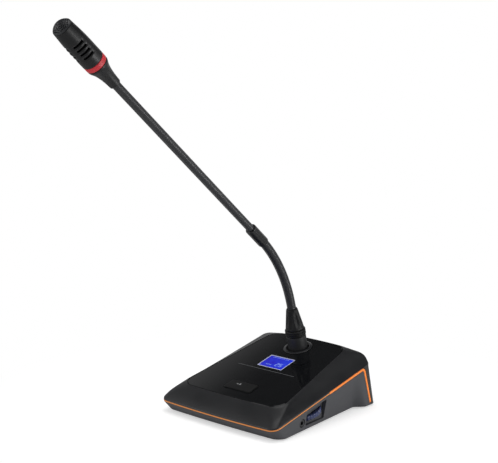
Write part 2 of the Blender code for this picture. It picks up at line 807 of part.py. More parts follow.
def lower_cavity(dial):
    """Inside of the lower shell, less its pocket, bosses and pegs."""
    hollow = as_cutter(add_object("lower_cavity", inner_body()))
    reach = BASE_HALF_WIDTH + OVERRUN
    block = prism(pocket_outline(POCKET_WALL), "X", POCKET_BACK - POCKET_WALL, reach)
    combine(hollow, as_cutter(add_object("pocket_body", block)))
    bosses = bmesh.new()
    for x, y in post_places():
        add_rod(bosses, BOSS_RADIUS, FOOT_PROUD, SHELL_FLOOR + BOSS_TALL, SMALL_SIDES, (x, y))
    for side in (-1, 1):
        add_rod(bosses, PEG_RADIUS, FOOT_PROUD, SHELL_FLOOR + BALLAST_THICK + PEG_PROUD, PIN_SIDES,
                (side * PEG_X, depth((BALLAST_FRONT + BALLAST_REAR) / 2)))
        add_rod(bosses, LINK_BOSS_RADIUS, FOOT_PROUD, LINK_BOARD_HEIGHT - GAP, PIN_SIDES,
                (side * LINK_BOSS_X, depth(LINK_BOSS_DEPTH)))
    combine(hollow, as_cutter(add_object("floor_bosses", bosses)))
    stands = bmesh.new()
    under = WHEEL_THICK / 2 + GAP + DIAL_TALL + GAP + DIAL_BOARD_THICK + GAP
    for side in (-1, 1):
        add_rod(stands, DIAL_BOSS_RADIUS, -under - OVERRUN, -under, PIN_SIDES,
                (DIAL_BOSS_X - WHEEL_X, side * DIAL_BOSS_UP))
    combine(hollow, as_cutter(add_object("dial_stands", stands, parent=dial)))
    return hollow


def floor_cuts():
    """Foot seats and screw holes in the floor, and the jack's hole."""
    cuts = bmesh.new()
    for x, y in pad_places():
        add_rod(cuts, PAD_RADIUS + GAP, -OVERRUN, FOOT_PROUD + PAD_SUNK + GAP, ROUND_SIDES, (x, y))
    for x, y in post_places():
        seat = FOOT_PROUD + SCREW_SUNK
        head = SCREW_HEAD_RADIUS + GAP
        shaft = SCREW_RADIUS + GAP
        hole = turned(((0, -OVERRUN), (head, -OVERRUN), (head, seat), (shaft, seat),
                       (shaft, SHELL_FLOOR + OVERRUN), (0, SHELL_FLOOR + OVERRUN)), SMALL_SIDES)
        bmesh.ops.translate(hole, vec=(x, y, 0), verts=hole.verts)
        take_in(cuts, hole)
    well = rod(JACK_WELL, JACK_FACE - JACK_BODY_LONG, BASE_HALF_WIDTH + OVERRUN, SMALL_SIDES)
    bmesh.ops.rotate(well, cent=(0, 0, 0), verts=well.verts,
                     matrix=Matrix.Rotation(RIGHT_ANGLE, 3, "Y"))
    bmesh.ops.translate(well, vec=(0, depth(JACK_DEPTH), JACK_HEIGHT), verts=well.verts)
    take_in(cuts, well)
    return as_cutter(add_object("floor_cuts", cuts))


def take_in(bm, other):
    """Move the geometry of one bmesh into another."""
    scratch = bpy.data.meshes.new("scratch")
    other.to_mesh(scratch)
    other.free()
    bm.from_mesh(scratch)
    bpy.data.meshes.remove(scratch)


def make_lower_shell(dial):
    shell = add_object("lower_shell", outer_body(), smooth=math.radians(24))
    combine(shell, as_cutter(add_object("seam_under", seam_prism(-1))), "INTERSECT")
    combine(shell, lower_cavity(dial))
    slot = rod(WHEEL_RADIUS + SLIDE_GAP, -WHEEL_THICK / 2 - SLIDE_GAP, WHEEL_THICK / 2 + SLIDE_GAP,
               RING_SIDES)
    combine(shell, as_cutter(add_object("wheel_slot", slot, parent=dial)))
    pocket = prism(pocket_outline(0), "X", POCKET_BACK, BASE_HALF_WIDTH + OVERRUN)
    combine(shell, as_cutter(add_object("pocket_space", pocket)))
    combine(shell, floor_cuts())
    return paint(shell, "3A3B3E", 0.5)


def make_trim():
    """The thin line round the front and the thicker bars at the sides."""
    reach = BASE_HALF_WIDTH + OVERRUN
    body = as_cutter(add_object("skin_outer", outer_body()))
    hollow = as_cutter(add_object("skin_inner", inner_body()))
    half = TRIM_THICK / 2
    end = ACCENT_START - GAP / 2
    thin = [on_belt(-OVERRUN, -half), on_belt(end, -half), on_belt(end, half),
            on_belt(-OVERRUN, half)]
    strip = add_object("trim_strip", prism(thin, "X", -reach, reach))
    combine(strip, body, "INTERSECT")
    combine(strip, hollow)
    paint(strip, "F09A4A", 0.35, glow=0.3)
    half = ACCENT_THICK / 2
    start = ACCENT_START + GAP / 2
    thick = [on_belt(start, half), *apex_arc(half), on_rear(ACCENT_END_HEIGHT, half),
             on_rear(ACCENT_END_HEIGHT, -half), *reversed(apex_arc(-half)), on_belt(start, -half)]
    for name, side in (("accent_bar_left", -1), ("accent_bar_right", 1)):
        near, far = sorted((side * (BASE_HALF_WIDTH - OVERRUN), side * reach))
        bar = add_object(name, prism(thick, "X", near, far))
        combine(bar, body, "INTERSECT")
        combine(bar, hollow)
        paint(bar, "FFA850", 0.35, glow=0.3)


# Panel pieces, in the panel's frame: Y up the slope, Z out of the panel

def make_panel_plate(panel):
    plate = add_object("panel_plate", prism(panel_outline(0), "Z", -PANEL_THICK, 0),
                       parent=panel)
    cuts = bmesh.new()
    low, high = -PANEL_THICK - OVERRUN, OVERRUN
    half_x, half_y = DISPLAY_WIDTH / 2 + GAP, DISPLAY_LENGTH / 2 + GAP
    add_box(cuts, (-half_x, DISPLAY_UP - half_y, low), (half_x, DISPLAY_UP + half_y, high))
    half_x, half_y = BUTTON_WIDTH / 2 + SLIDE_GAP, BUTTON_LENGTH / 2 + SLIDE_GAP
    add_box(cuts, (-half_x, BUTTON_UP - half_y, low), (half_x, BUTTON_UP + half_y, high))
    add_rod(cuts, RING_SPIGOT + GAP, low, high, RING_SIDES, (0, SOCKET_UP))
    combine(plate, as_cutter(add_object("panel_openings", cuts, parent=panel)))
    return paint(plate, "17181A", 0.08)


def make_display(panel):
    half_x, half_y = DISPLAY_WIDTH / 2, DISPLAY_LENGTH / 2
    frame = add_object("display_frame", box((-half_x, -half_y, -PANEL_THICK), (half_x, half_y, 0)),
                       (0, DISPLAY_UP, 0), parent=panel)
    open_x, open_y = half_x - DISPLAY_BORDER, half_y - DISPLAY_BORDER
    hole = box((-open_x, -open_y, -PANEL_THICK - OVERRUN), (open_x, open_y, OVERRUN))
    combine(frame, as_cutter(add_object("frame_opening", hole, (0, DISPLAY_UP, 0), parent=panel)))
    paint(frame, "E8EAF2", 0.3)
    window = box((GAP - open_x, GAP - open_y, -PANEL_THICK),
                 (open_x - GAP, open_y - GAP, -DISPLAY_SUNK))
    paint(add_object("display_window", window, (0, DISPLAY_UP, 0), parent=panel),
          "1538E8", 0.1, glow=1.0)
    top = -PANEL_THICK - GAP
    half_x, half_y = MODULE_WIDTH / 2, MODULE_LENGTH / 2
    module = box((-half_x, -half_y, top - MODULE_DEEP), (half_x, half_y, top))
    paint(add_object("display_module", module, (0, DISPLAY_UP, 0), parent=panel), "4A4C50", 0.5)


def make_talk_button(panel):
    """Hollow key with a flange that keeps it under the panel, and its stem."""
    flange_top = -PANEL_THICK - GAP
    skirt = flange_top - BUTTON_FLANGE_THICK
    half_x, half_y = BUTTON_WIDTH / 2, BUTTON_LENGTH / 2
    key = add_object("talk_button", box((-half_x, -half_y, skirt), (half_x, half_y, BUTTON_PROUD)),
                     (0, BUTTON_UP, 0), parent=panel)
    wide_x, wide_y = half_x + BUTTON_FLANGE, half_y + BUTTON_FLANGE
    flange = box((-wide_x, -wide_y, skirt), (wide_x, wide_y, flange_top))
    combine(key, as_cutter(add_object("key_flange", flange, (0, BUTTON_UP, 0), parent=panel)), "UNION")
    in_x, in_y = half_x - BUTTON_WALL, half_y - BUTTON_WALL
    inside = box((-in_x, -in_y, skirt - OVERRUN), (in_x, in_y, BUTTON_PROUD - BUTTON_WALL))
    hollow = as_cutter(add_object("key_hollow", inside, (0, BUTTON_UP, 0), parent=panel))
    stem_end = GAP - switch_cap_top()
    stem = rod(BUTTON_STEM, stem_end, BUTTON_PROUD - BUTTON_WALL / 2, SMALL_SIDES)
    combine(hollow, as_cutter(add_object("key_stem", stem, (0, BUTTON_UP, 0), parent=panel)))
    combine(key, hollow)
    return paint(round_edges(key, BUTTON_EDGE / 2), "1B1C1F", 0.3)


def switch_cap_top():
    """Depth of the switch cap's top under the panel face."""
    return BOARD_TOP - GAP - SWITCH_TALL - SWITCH_CAP_TALL / 2


def make_talk_switch(panel):
    half = SWITCH_SIDE / 2
    bottom = GAP - BOARD_TOP
    top = bottom + SWITCH_TALL
    case = add_object("talk_switch", box((-half, -half, bottom), (half, half, top)),
                      (0, BUTTON_UP, 0), parent=panel)
    well = rod(SWITCH_CAP_RADIUS + SLIDE_GAP, bottom + SWITCH_FLOOR, top + OVERRUN, SMALL_SIDES)
    combine(case, as_cutter(add_object("switch_well", well, (0, BUTTON_UP, 0), parent=panel)))
    paint(case, "2C2D30", 0.45)
    cap_top = -switch_cap_top()
    cap = rod(SWITCH_CAP_RADIUS, cap_top - SWITCH_CAP_TALL, cap_top, SMALL_SIDES)
    paint(add_object("switch_cap", cap, (0, BUTTON_UP, 0), parent=panel,
                     smooth=math.radians(40)), "8C2A22", 0.4)


def make_main_board(panel):
    low = -BOARD_TOP - BOARD_THICK
    board = box((-BOARD_HALF_WIDTH, BOARD_FRONT, low), (BOARD_HALF_WIDTH, BOARD_REAR, -BOARD_TOP))
    return paint(add_object("main_board", board, parent=panel), "1F5A36", 0.5)


# Microphone socket and plug, turned round the plug's own axis

def make_socket_ring(panel):
    profile = ((RING_INNER, -PANEL_THICK), (RING_SPIGOT, -PANEL_THICK), (RING_SPIGOT, GAP),
               (RING_OUTER, GAP), (RING_OUTER, RING_RISE / 2), (RING_RIDGE, RING_RISE),
               ((RING_RIDGE + RING_INNER) / 2, RING_RISE), (RING_INNER, RING_RISE / 2))
    ring = turned(profile, RING_SIDES, ring=True)
    return paint(add_object("socket_ring", ring, (0, SOCKET_UP, 0), parent=panel,
                            smooth=math.radians(35)), "202124", 0.3)


def pin_spots():
    return [(PIN_CIRCLE * math.cos(FULL_TURN * k / PIN_COUNT + RIGHT_ANGLE),
             PIN_CIRCLE * math.sin(FULL_TURN * k / PIN_COUNT + RIGHT_ANGLE))
            for k in range(PIN_COUNT)]


def make_mic_socket(panel):
    """Round socket: a cup through the roof with a flange under it, and a core in the cup."""
    tube_in = PLUG_TUBE - PLUG_TUBE_WALL
    top = -SOCKET_TOP
    core, core_top = tube_in - SLIDE_GAP, top - SOCKET_CORE_DROP
    well, well_floor = PLUG_TUBE + SLIDE_GAP, top - SOCKET_WELL
    flange_top = -ROOF_UNDER - GAP
    flange_low = flange_top - SOCKET_FLANGE_THICK
    profile = ((0, -SOCKET_DEEP), (SOCKET_BARREL, -SOCKET_DEEP), (SOCKET_BARREL, flange_low),
               (SOCKET_FLANGE, flange_low), (SOCKET_FLANGE, flange_top),
               (SOCKET_BARREL, flange_top), (SOCKET_BARREL, top), (well, top),
               (well, well_floor), (0, well_floor))
    paint(add_object("mic_socket", turned(profile, ROUND_SIDES), (0, SOCKET_UP, 0),
                     parent=panel, smooth=math.radians(35)), "1E1F21", 0.45)
    block = add_object("socket_core", rod(core, well_floor + GAP, core_top, ROUND_SIDES),
                       (0, SOCKET_UP, 0), parent=panel, smooth=math.radians(35))
    holes = bmesh.new()
    for x, y in pin_spots():
        add_rod(holes, PIN_RADIUS + GAP, core_top - PIN_LENGTH - SLIDE_GAP, core_top + OVERRUN,
                PIN_SIDES, (x, y))
    combine(block, as_cutter(add_object("socket_holes", holes, (0, SOCKET_UP, 0), parent=panel)))
    return paint(block, "1E1F21", 0.45)


def make_plug(plug):
    """Plug shell over its socket tube, with the pin insert inside it."""
    foot = -SOCKET_TOP + GAP
    tube_in = PLUG_TUBE - PLUG_TUBE_WALL
    insert_low = -SOCKET_TOP - SOCKET_CORE_DROP + GAP
    insert_top = insert_low + INSERT_THICK
    tube_end = foot - PLUG_TUBE_DEEP
    profile = ((0, insert_top + GAP), (tube_in, insert_top + GAP), (tube_in, tube_end),
               (PLUG_TUBE, tube_end), (PLUG_TUBE, foot), (PLUG_RADIUS, foot),
               (PLUG_RADIUS, PLUG_TALL - PLUG_ROUND),
               (PLUG_RADIUS - PLUG_ROUND / 3, PLUG_TALL - PLUG_ROUND / 3),
               (PLUG_RADIUS - PLUG_ROUND, PLUG_TALL), (0, PLUG_TALL))
    shell = add_object("plug_shell", turned(profile, ROUND_SIDES), parent=plug,
                       smooth=math.radians(35))
    paint(shell, "1C1D1F", 0.16, metallic=0.6)
    insert = add_object("plug_insert", rod(tube_in - GAP, insert_low, insert_top, ROUND_SIDES),
                        parent=plug, smooth=math.radians(35))
    pins = bmesh.new()
    for x, y in pin_spots():
        add_rod(pins, PIN_RADIUS, insert_low - PIN_LENGTH, (insert_low + insert_top) / 2,
                PIN_SIDES, (x, y))
    combine(insert, as_cutter(add_object("pin_bodies", pins, parent=plug)), "UNION")
    paint(insert, "B9A26A", 0.35, metallic=0.7)


def make_collar(plug):
    """Ribbed ring between the plug shell and its boot."""
    low, high = PLUG_TALL + GAP, COLLAR_TOP
    step = (high - low) / COLLAR_RIBS
    profile = [(0, low)]
    for k in range(COLLAR_RIBS):
        start = low + step * k
        profile += [(COLLAR_RADIUS, start), (COLLAR_RADIUS, start + step / 2)]
        if k < COLLAR_RIBS - 1:
            profile += [(COLLAR_RADIUS - COLLAR_GROOVE, start + step / 2),
                        (COLLAR_RADIUS - COLLAR_GROOVE, start + step)]
    profile += [(BOOT_FOOT_RADIUS, high), (0, high)]
    collar = add_object("plug_collar", turned(profile, ROUND_SIDES), parent=plug,
                        smooth=math.radians(35))
    return paint(collar, "1F2022", 0.3)


def flute_depth(share):
    """Flutes fade in from the foot and out again towards the tip."""
    start, end = BOOT_FLUTE_SHARES
    inside = (share - start) / (end - start)
    if inside <= 0 or inside >= 1:
        return 0
    return BOOT_FLUTE_DEEP * math.sin(math.pi * inside)


def make_boot(plug):
    """Tapered strain relief with flutes, bored for the neck's end."""
    count = BOOT_FLUTES * 4
    low = COLLAR_TOP + GAP
    bore, bore_floor = NECK_RADIUS + GAP, BOOT_TOP - NECK_SPIGOT - GAP
    rings = []
    for k in range(BOOT_STEPS + 1):
        share = k / BOOT_STEPS
        height = low + (BOOT_TOP - low) * share
        radius = BOOT_FOOT_RADIUS + (BOOT_TIP_RADIUS - BOOT_FOOT_RADIUS) * share
        ring = []
        for j in range(count):
            angle = FULL_TURN * j / count
            cut = flute_depth(share) * (1 - math.cos(angle * BOOT_FLUTES)) / 2
            ring.append(((radius - cut) * math.cos(angle), (radius - cut) * math.sin(angle), height))
        rings.append(ring)
    boot = add_object("plug_boot", loft(rings), parent=plug, smooth=math.radians(50))
    hole = rod(bore, bore_floor, BOOT_TOP + OVERRUN, SMALL_SIDES)
    combine(boot, as_cutter(add_object("boot_bore", hole, parent=plug)))
    return paint(boot, "232426", 0.5)


# Neck path: straight out of the plug, an even bend, then straight along the stem

def neck_start():
    return panel_point(0, SOCKET_UP, BOOT_TOP)


def neck_length():
    return NECK_BEND * (RIGHT_ANGLE - PANEL_SLOPE - STEM_ELEVATION)


def neck_frame(run):
    """Place and tilt of the neck's middle line at a distance along it."""
    inside = min(max(run, 0), neck_length())
    tilt = PANEL_SLOPE + inside / NECK_BEND
    centre = neck_start() - Vector((0, math.cos(PANEL_SLOPE), math.sin(PANEL_SLOPE))) * NECK_BEND
    place = centre + Vector((0, math.cos(tilt), math.sin(tilt))) * NECK_BEND
    place += Vector((0, -math.sin(tilt), math.cos(tilt))) * (run - inside)
    return place, tilt


def ball_points(radius, start, end, outward):
    """Points of a ball end, from the height start to its pole, or back."""
    first = math.asin(start / radius)
    points = []
    for k in range(BALL_STEPS):
        angle = first + (RIGHT_ANGLE - first) * k / BALL_STEPS
        points.append((radius * math.cos(angle), end + radius * math.sin(angle)))
    points.append((0, end + radius))
    return points if outward else points[::-1]


def link_profile(radius, half_gap, low, high, low_cup, high_ball, pitch=0, rib=0):
    """Profile of one neck link between two heights.

    A cup at its low end takes the ball below, and a ball at its high end
    carries the next link. Both are centred on the joint.
    """
    ball = radius * BALL_SHARE
    cup = ball + GAP
    profile = ball_points(cup, half_gap, low, False) if low_cup else [(0, low)]
    start = low + half_gap if low_cup else low
    end = high - half_gap if high_ball else high
    if pitch:
        count = max(int((end - start) / pitch), 1)
        step = (end - start) / count
        for k in range(count):
            profile += [(radius - rib, start + step * k), (radius, start + step * (k + RIB_SHARE))]
        profile.append((radius - rib, end))
    else:
        profile += [(radius, start), (radius, end)]
    profile += ball_points(ball, -half_gap, high, True) if high_ball else [(0, high)]
    return profile


def bent(bm, run):
    """Lay a straight turned piece along the neck's path."""
    origin, _ = neck_frame(run)
    for vert in bm.verts:
        place, tilt = neck_frame(run + vert.co.z)
        across = Vector((0, math.cos(tilt), math.sin(tilt))) * vert.co.y
        vert.co = place + across + Vector((vert.co.x, 0, 0)) - origin
    return bm


def make_neck():
    """Links of the bendy neck, each with its origin on its lower joint."""
    step = neck_length() / NECK_LINKS
    for k in range(NECK_LINKS):
        first, last = k == 0, k == NECK_LINKS - 1
        low = -NECK_SPIGOT if first else 0
        high = step + SLEEVE_BORE_DEEP - SLEEVE_GRIP - GAP if last else step
        profile = link_profile(NECK_RADIUS, NECK_HALF_GAP, low, high, not first, not last,
                               NECK_RIB_PITCH, NECK_RIB_DEEP)
        link = add_object("neck_link_%d" % (k + 1), bent(turned(profile, NECK_SIDES), step * k),
                          neck_frame(step * k)[0], smooth=math.radians(30))
        paint(link, "1D1E20", 0.32)


def stem_place(run):
    """Place on the stem's line, from the end of the bend."""
    return neck_frame(neck_length() + run)[0]


def make_sleeve(tilt):
    grip, top = SLEEVE_BORE_DEEP, SLEEVE_LENGTH
    low_bore, high_bore = NECK_RADIUS + GAP, STEM_RADIUS + GAP
    profile = ((0, grip), (low_bore, grip), (low_bore, 0), (SLEEVE_RADIUS - SLEEVE_CHAMFER / 3, 0),
               (SLEEVE_RADIUS, SLEEVE_CHAMFER), (SLEEVE_RADIUS, top - SLEEVE_CHAMFER / 3),
               (SLEEVE_RADIUS - SLEEVE_CHAMFER / 3, top), (high_bore, top),
               (high_bore, top - SLEEVE_GRIP), (0, top - SLEEVE_GRIP))
    sleeve = add_object("joint_sleeve", turned(profile, SMALL_SIDES), stem_place(-SLEEVE_GRIP), tilt,
                        smooth=math.radians(40))
    return paint(sleeve, "1B1C1E", 0.28)


def head_foot():
    """Run along the stem's line at which the head collar starts."""
    return SLEEVE_LENGTH - SLEEVE_GRIP + STEM_RUN


def make_stem(tilt):
    """Straight tube, then two short links that let the head be aimed."""
    start = SLEEVE_LENGTH - SLEEVE_GRIP - SLEEVE_GRIP + GAP
    lower_bend = head_foot() - HEAD_LINK_BELOW - HEAD_LINK
    profile = link_profile(STEM_RADIUS, STEM_HALF_GAP, 0, lower_bend - start, False, True)
    stem = add_object("stem_tube", turned(profile, SMALL_SIDES), stem_place(start), tilt,
                      smooth=math.radians(30))
    bore = rod(STEM_BORE, -OVERRUN, lower_bend - start - OVERRUN, PIN_SIDES)
    combine(stem, as_cutter(add_object("stem_bore", bore, stem_place(start), tilt)))
    paint(stem, "18191B", 0.36)
    profile = link_profile(STEM_RADIUS, STEM_HALF_GAP, 0, HEAD_LINK, True, True)
    link = add_object("head_link_1", turned(profile, SMALL_SIDES), stem_place(lower_bend), tilt,
                      smooth=math.radians(30))
    paint(link, "18191B", 0.36)
    high = HEAD_LINK_BELOW + HEAD_SOCKET_DEEP - GAP
    profile = link_profile(STEM_RADIUS, STEM_HALF_GAP, 0, high, True, False)
    link = add_object("head_link_2", turned(profile, SMALL_SIDES),
                      stem_place(lower_bend + HEAD_LINK), tilt, smooth=math.radians(30))
    paint(link, "18191B", 0.36)


# Microphone head, in the frame of its collar's foot

def make_head_collar(head):
    bore, spigot = STEM_RADIUS + GAP, HEAD_BORE - GAP
    light_top = LIGHT_START + LIGHT_LENGTH
    profile = ((0, HEAD_SOCKET_DEEP), (bore, HEAD_SOCKET_DEEP), (bore, 0), (HEAD_FOOT_RADIUS, 0),
               (HEAD_STEP_RADIUS, HEAD_STEP), (HEAD_CONE_RADIUS, HEAD_CONE),
               (HEAD_FLARE_RADIUS, HEAD_FLARE), (HEAD_SHOULDER_RADIUS, HEAD_SHOULDER),
               (HEAD_SHOULDER_RADIUS, LIGHT_START - GAP), (spigot, LIGHT_START - GAP),
               (spigot, light_top + HEAD_SPIGOT_IN), (0, light_top + HEAD_SPIGOT_IN))
    collar = add_object("head_collar", turned(profile, ROUND_SIDES), parent=head,
                        smooth=math.radians(30))
    return paint(collar, "222325", 0.42)


def make_light_ring(head):
    top = LIGHT_START + LIGHT_LENGTH
    profile = ((HEAD_BORE, LIGHT_START), (LIGHT_RADIUS - LIGHT_EDGE, LIGHT_START),
               (LIGHT_RADIUS, LIGHT_START + LIGHT_EDGE), (LIGHT_RADIUS, top - LIGHT_EDGE),
               (LIGHT_RADIUS - LIGHT_EDGE, top), (HEAD_BORE, top))
    ring = add_object("light_ring", turned(profile, RING_SIDES, ring=True), parent=head,
                      smooth=math.radians(50))
    return paint(ring, "D23A48", 0.3, glow=0.4)


def slot_outline(radius):
    """Crescent that cuts one slot into the head."""
    near, far = radius - OVERRUN / 2, radius + OVERRUN
    inner, outer = [], []
    for k in range(SLOT_ARC_STEPS + 1):
        angle = SLOT_HALF_ANGLE * (2 * k / SLOT_ARC_STEPS - 1)
        inner.append((near * math.cos(angle), near * math.sin(angle)))
        outer.append((far * math.cos(angle), far * math.sin(angle)))
    return inner + outer[::-1]


def make_housing(head):
    """Tapered head tube with rows of slots on three sides."""
    foot = LIGHT_START + LIGHT_LENGTH + GAP
    profile = ((HEAD_BORE, foot), (HEAD_RADIUS - LIGHT_EDGE, foot), (HEAD_RADIUS, foot + LIGHT_EDGE),
               (HEAD_RADIUS, HEAD_TAPER_START), (HEAD_TOP_RADIUS, HEAD_TOP), (HEAD_BORE, HEAD_TOP))
    tube = add_object("head_housing", turned(profile, RING_SIDES, ring=True), parent=head,
                      smooth=math.radians(30))
    cuts = bmesh.new()
    for row in range(SLOT_ROWS):
        low = SLOT_FIRST + SLOT_PITCH * row
        for turn in SLOT_TURNS:
            slot = prism(slot_outline(HEAD_BORE), "Z", low, low + SLOT_WIDE)
            bmesh.ops.rotate(slot, cent=(0, 0, 0), verts=slot.verts,
                             matrix=Matrix.Rotation(turn, 3, "Z"))
            take_in(cuts, slot)
    combine(tube, as_cutter(add_object("head_slots", cuts, parent=head)))
    return paint(tube, "1A1B1D", 0.3)


def make_grille(head):
    """End cap of the head: a cup with a hexagonal field of holes in its face."""
    low, inner = HEAD_TOP + GAP, HEAD_BORE - GAP
    face = CAP_TIP - GRILLE_DOME
    under = face - CAP_WALL
    profile = ((0, under), (inner - CAP_WALL, under), (inner - CAP_WALL, low - CAP_SPIGOT),
               (inner, low - CAP_SPIGOT), (inner, low), (HEAD_TOP_RADIUS, low),
               (CAP_SHOULDER_RADIUS, CAP_SHOULDER), (CAP_TIP_RADIUS, face),
               (CAP_TIP_RADIUS / 2, CAP_TIP - GRILLE_DOME / 4), (0, CAP_TIP))
    cap = add_object("head_grille", turned(profile, ROUND_SIDES), parent=head,
                     smooth=math.radians(50))
    holes = bmesh.new()
    for row in range(-GRILLE_ROWS, GRILLE_ROWS + 1):
        count = 2 * GRILLE_ROWS + 1 - abs(row)
        for k in range(count):
            spot = ((k - (count - 1) / 2) * GRILLE_PITCH,
                    row * GRILLE_PITCH * math.sin(FULL_TURN / 6))
            add_rod(holes, GRILLE_HOLE, under - CAP_WALL, CAP_TIP + CAP_WALL, GRILLE_HOLE_SIDES,
                    spot)
    combine(cap, as_cutter(add_object("grille_holes", holes, parent=head)))
    return paint(cap, "2B2C2F", 0.4, metallic=0.6)


def make_capsule(head):
    """Sound capsule in the rubber muff that holds it in the head tube."""
    end = CAPSULE_START + CAPSULE_LENGTH
    paint(add_object("mic_capsule", rod(CAPSULE_RADIUS, CAPSULE_START, end, ROUND_SIDES),
                     parent=head, smooth=math.radians(35)), "8E9094", 0.3, metallic=0.8)
    inner, outer = CAPSULE_RADIUS + GAP, HEAD_BORE - GAP
    low, high = CAPSULE_START + MUFF_INSET, end - MUFF_INSET
    muff = turned(((inner, low), (outer, low), (outer, high), (inner, high)), ROUND_SIDES, ring=True)
    paint(add_object("capsule_muff", muff, parent=head, smooth=math.radians(35)), "1A1A1A", 0.8)


# Side controls

def make_wheel(dial):
    """Thumbwheel with a toothed rim, blind-bored for its dial shaft."""
    count = WHEEL_TEETH * 4
    outline = []
    for k in range(WHEEL_TEETH):
        for part, radius in ((0, WHEEL_RADIUS - WHEEL_TOOTH), (1, WHEEL_RADIUS),
                             (2, WHEEL_RADIUS), (3, WHEEL_RADIUS - WHEEL_TOOTH)):
            angle = FULL_TURN * (4 * k + part) / count
            outline.append((radius * math.cos(angle), radius * math.sin(angle)))
    wheel = add_object("volume_wheel", prism(outline, "Z", -WHEEL_THICK / 2, WHEEL_THICK / 2),
                       parent=dial)
    hole = rod(WHEEL_BORE, -WHEEL_THICK, WHEEL_THICK / 2 - WHEEL_CAP, SMALL_SIDES)
    combine(wheel, as_cutter(add_object("wheel_bore", hole, parent=dial)))
    return paint(wheel, "5A6488", 0.3)


def make_dial(dial):
    """Volume control under the wheel: body with a shaft, and its small board."""
    top = -WHEEL_THICK / 2 - GAP
    low = top - DIAL_TALL
    half = DIAL_SIDE / 2
    body = add_object("volume_control", box((-half, -half, low), (half, half, top)), parent=dial)
    shaft = rod(WHEEL_BORE - SLIDE_GAP, (low + top) / 2, WHEEL_THICK / 2 - WHEEL_CAP - GAP,
                SMALL_SIDES)
    combine(body, as_cutter(add_object("dial_shaft", shaft, parent=dial)), "UNION")
    paint(body, "6E7074", 0.4)
    board_top = low - GAP
    outer = POCKET_BACK - POCKET_WALL - GAP - WHEEL_X
    board = box((-DIAL_BOARD_HALF, -DIAL_BOARD_HALF, board_top - DIAL_BOARD_THICK),
                (min(DIAL_BOARD_HALF, outer), DIAL_BOARD_HALF, board_top))
    paint(add_object("volume_board", board, parent=dial), "1F5A36", 0.5)


def make_jack():
    """Headphone jack on the floor, with its barrel in the wall's well."""
    front = JACK_FACE - BASE_WALL - JACK_SETBACK
    back = front - JACK_BODY_LONG
    low = SHELL_FLOOR + GAP
    half = JACK_BODY_WIDE / 2
    y = depth(JACK_DEPTH)
    body = add_object("headphone_jack", box((back, y - half, low), (front, y + half,
                                                                    low + JACK_BODY_TALL)))
    middle = front - OVERRUN / 2
    barrel = rod(JACK_BARREL - GAP, 0, JACK_FACE - middle, SMALL_SIDES)
    barrel = add_object("jack_barrel", barrel, (middle, y, JACK_HEIGHT))
    bore = add_object("jack_bore", rod(JACK_BORE, 0, JACK_BORE_DEEP + OVERRUN, PIN_SIDES),
                      (JACK_FACE - JACK_BORE_DEEP, y, JACK_HEIGHT))
    for guide in (barrel, bore):
        guide.rotation_euler = (0, RIGHT_ANGLE, 0)
        as_cutter(guide)
    combine(body, barrel, "UNION")
    combine(body, bore)
    return paint(body, "2A2B2E", 0.4)


# Rear sockets, weight, feet and screws

def make_link_sockets():
    """Pair of stepped cable sockets on their own board."""
    low = LINK_BOARD_HEIGHT + BOARD_THICK + GAP
    half, mouth, notch = LINK_WIDE / 2, LINK_MOUTH_WIDE / 2, LINK_NOTCH_WIDE / 2
    floor = low + LINK_MOUTH_LIFT
    step, top = floor + LINK_NOTCH_TALL, floor + LINK_NOTCH_TALL + LINK_MOUTH_TALL
    back, face = depth(LINK_FACE - LINK_DEEP), depth(LINK_FACE)
    for name, x in (("link_socket_left", -LINK_X), ("link_socket_right", LINK_X)):
        item = add_object(name, box((x - half, back, low), (x + half, face, low + LINK_TALL)))
        shape = ((notch, floor), (notch, step), (mouth, step), (mouth, top), (-mouth, top),
                 (-mouth, step), (-notch, step), (-notch, floor))
        cut = prism(shape, "Z", 0, LINK_MOUTH_DEEP + OVERRUN)
        bmesh.ops.rotate(cut, cent=(0, 0, 0), verts=cut.verts,
                         matrix=Matrix.Rotation(RIGHT_ANGLE, 3, "X"))
        bmesh.ops.translate(cut, vec=(x, face + OVERRUN, 0), verts=cut.verts)
        combine(item, as_cutter(add_object(name + "_mouth", cut)))
        paint(item, "9FA2A6", 0.35, metallic=0.8)
    board = box((-LINK_BOARD_HALF, depth(LINK_BOARD_FRONT), LINK_BOARD_HEIGHT),
                (LINK_BOARD_HALF, depth(LINK_BOARD_REAR), LINK_BOARD_HEIGHT + BOARD_THICK))
    paint(add_object("link_board", board), "1F5A36", 0.5)


def make_ballast():
    """Steel weight on the floor, located by two pegs."""
    half_y = (BALLAST_REAR - BALLAST_FRONT) / 2
    middle = depth((BALLAST_REAR + BALLAST_FRONT) / 2)
    outline = rounded_box(BALLAST_HALF_WIDTH, half_y, BALLAST_CORNER, CORNER_STEPS)
    low = SHELL_FLOOR + GAP
    plate = add_object("ballast_plate", prism(outline, "Z", low, low + BALLAST_THICK), (0, middle, 0))
    holes = bmesh.new()
    for side in (-1, 1):
        add_rod(holes, PEG_RADIUS + GAP, 0, low + BALLAST_THICK + OVERRUN, PIN_SIDES,
                (side * PEG_X, 0))
    combine(plate, as_cutter(add_object("peg_holes", holes, (0, middle, 0))))
    return paint(plate, "77797C", 0.4, metallic=0.9)


def make_feet():
    for k, (x, y) in enumerate(pad_places()):
        top = FOOT_PROUD + PAD_SUNK
        profile = ((0, 0), (PAD_RADIUS - PAD_EDGE, 0), (PAD_RADIUS, PAD_EDGE), (PAD_RADIUS, top),
                   (0, top))
        foot = add_object("rubber_foot_%d" % (k + 1), turned(profile, ROUND_SIDES), (x, y, 0),
                          smooth=math.radians(40))
        paint(foot, "151515", 0.85)


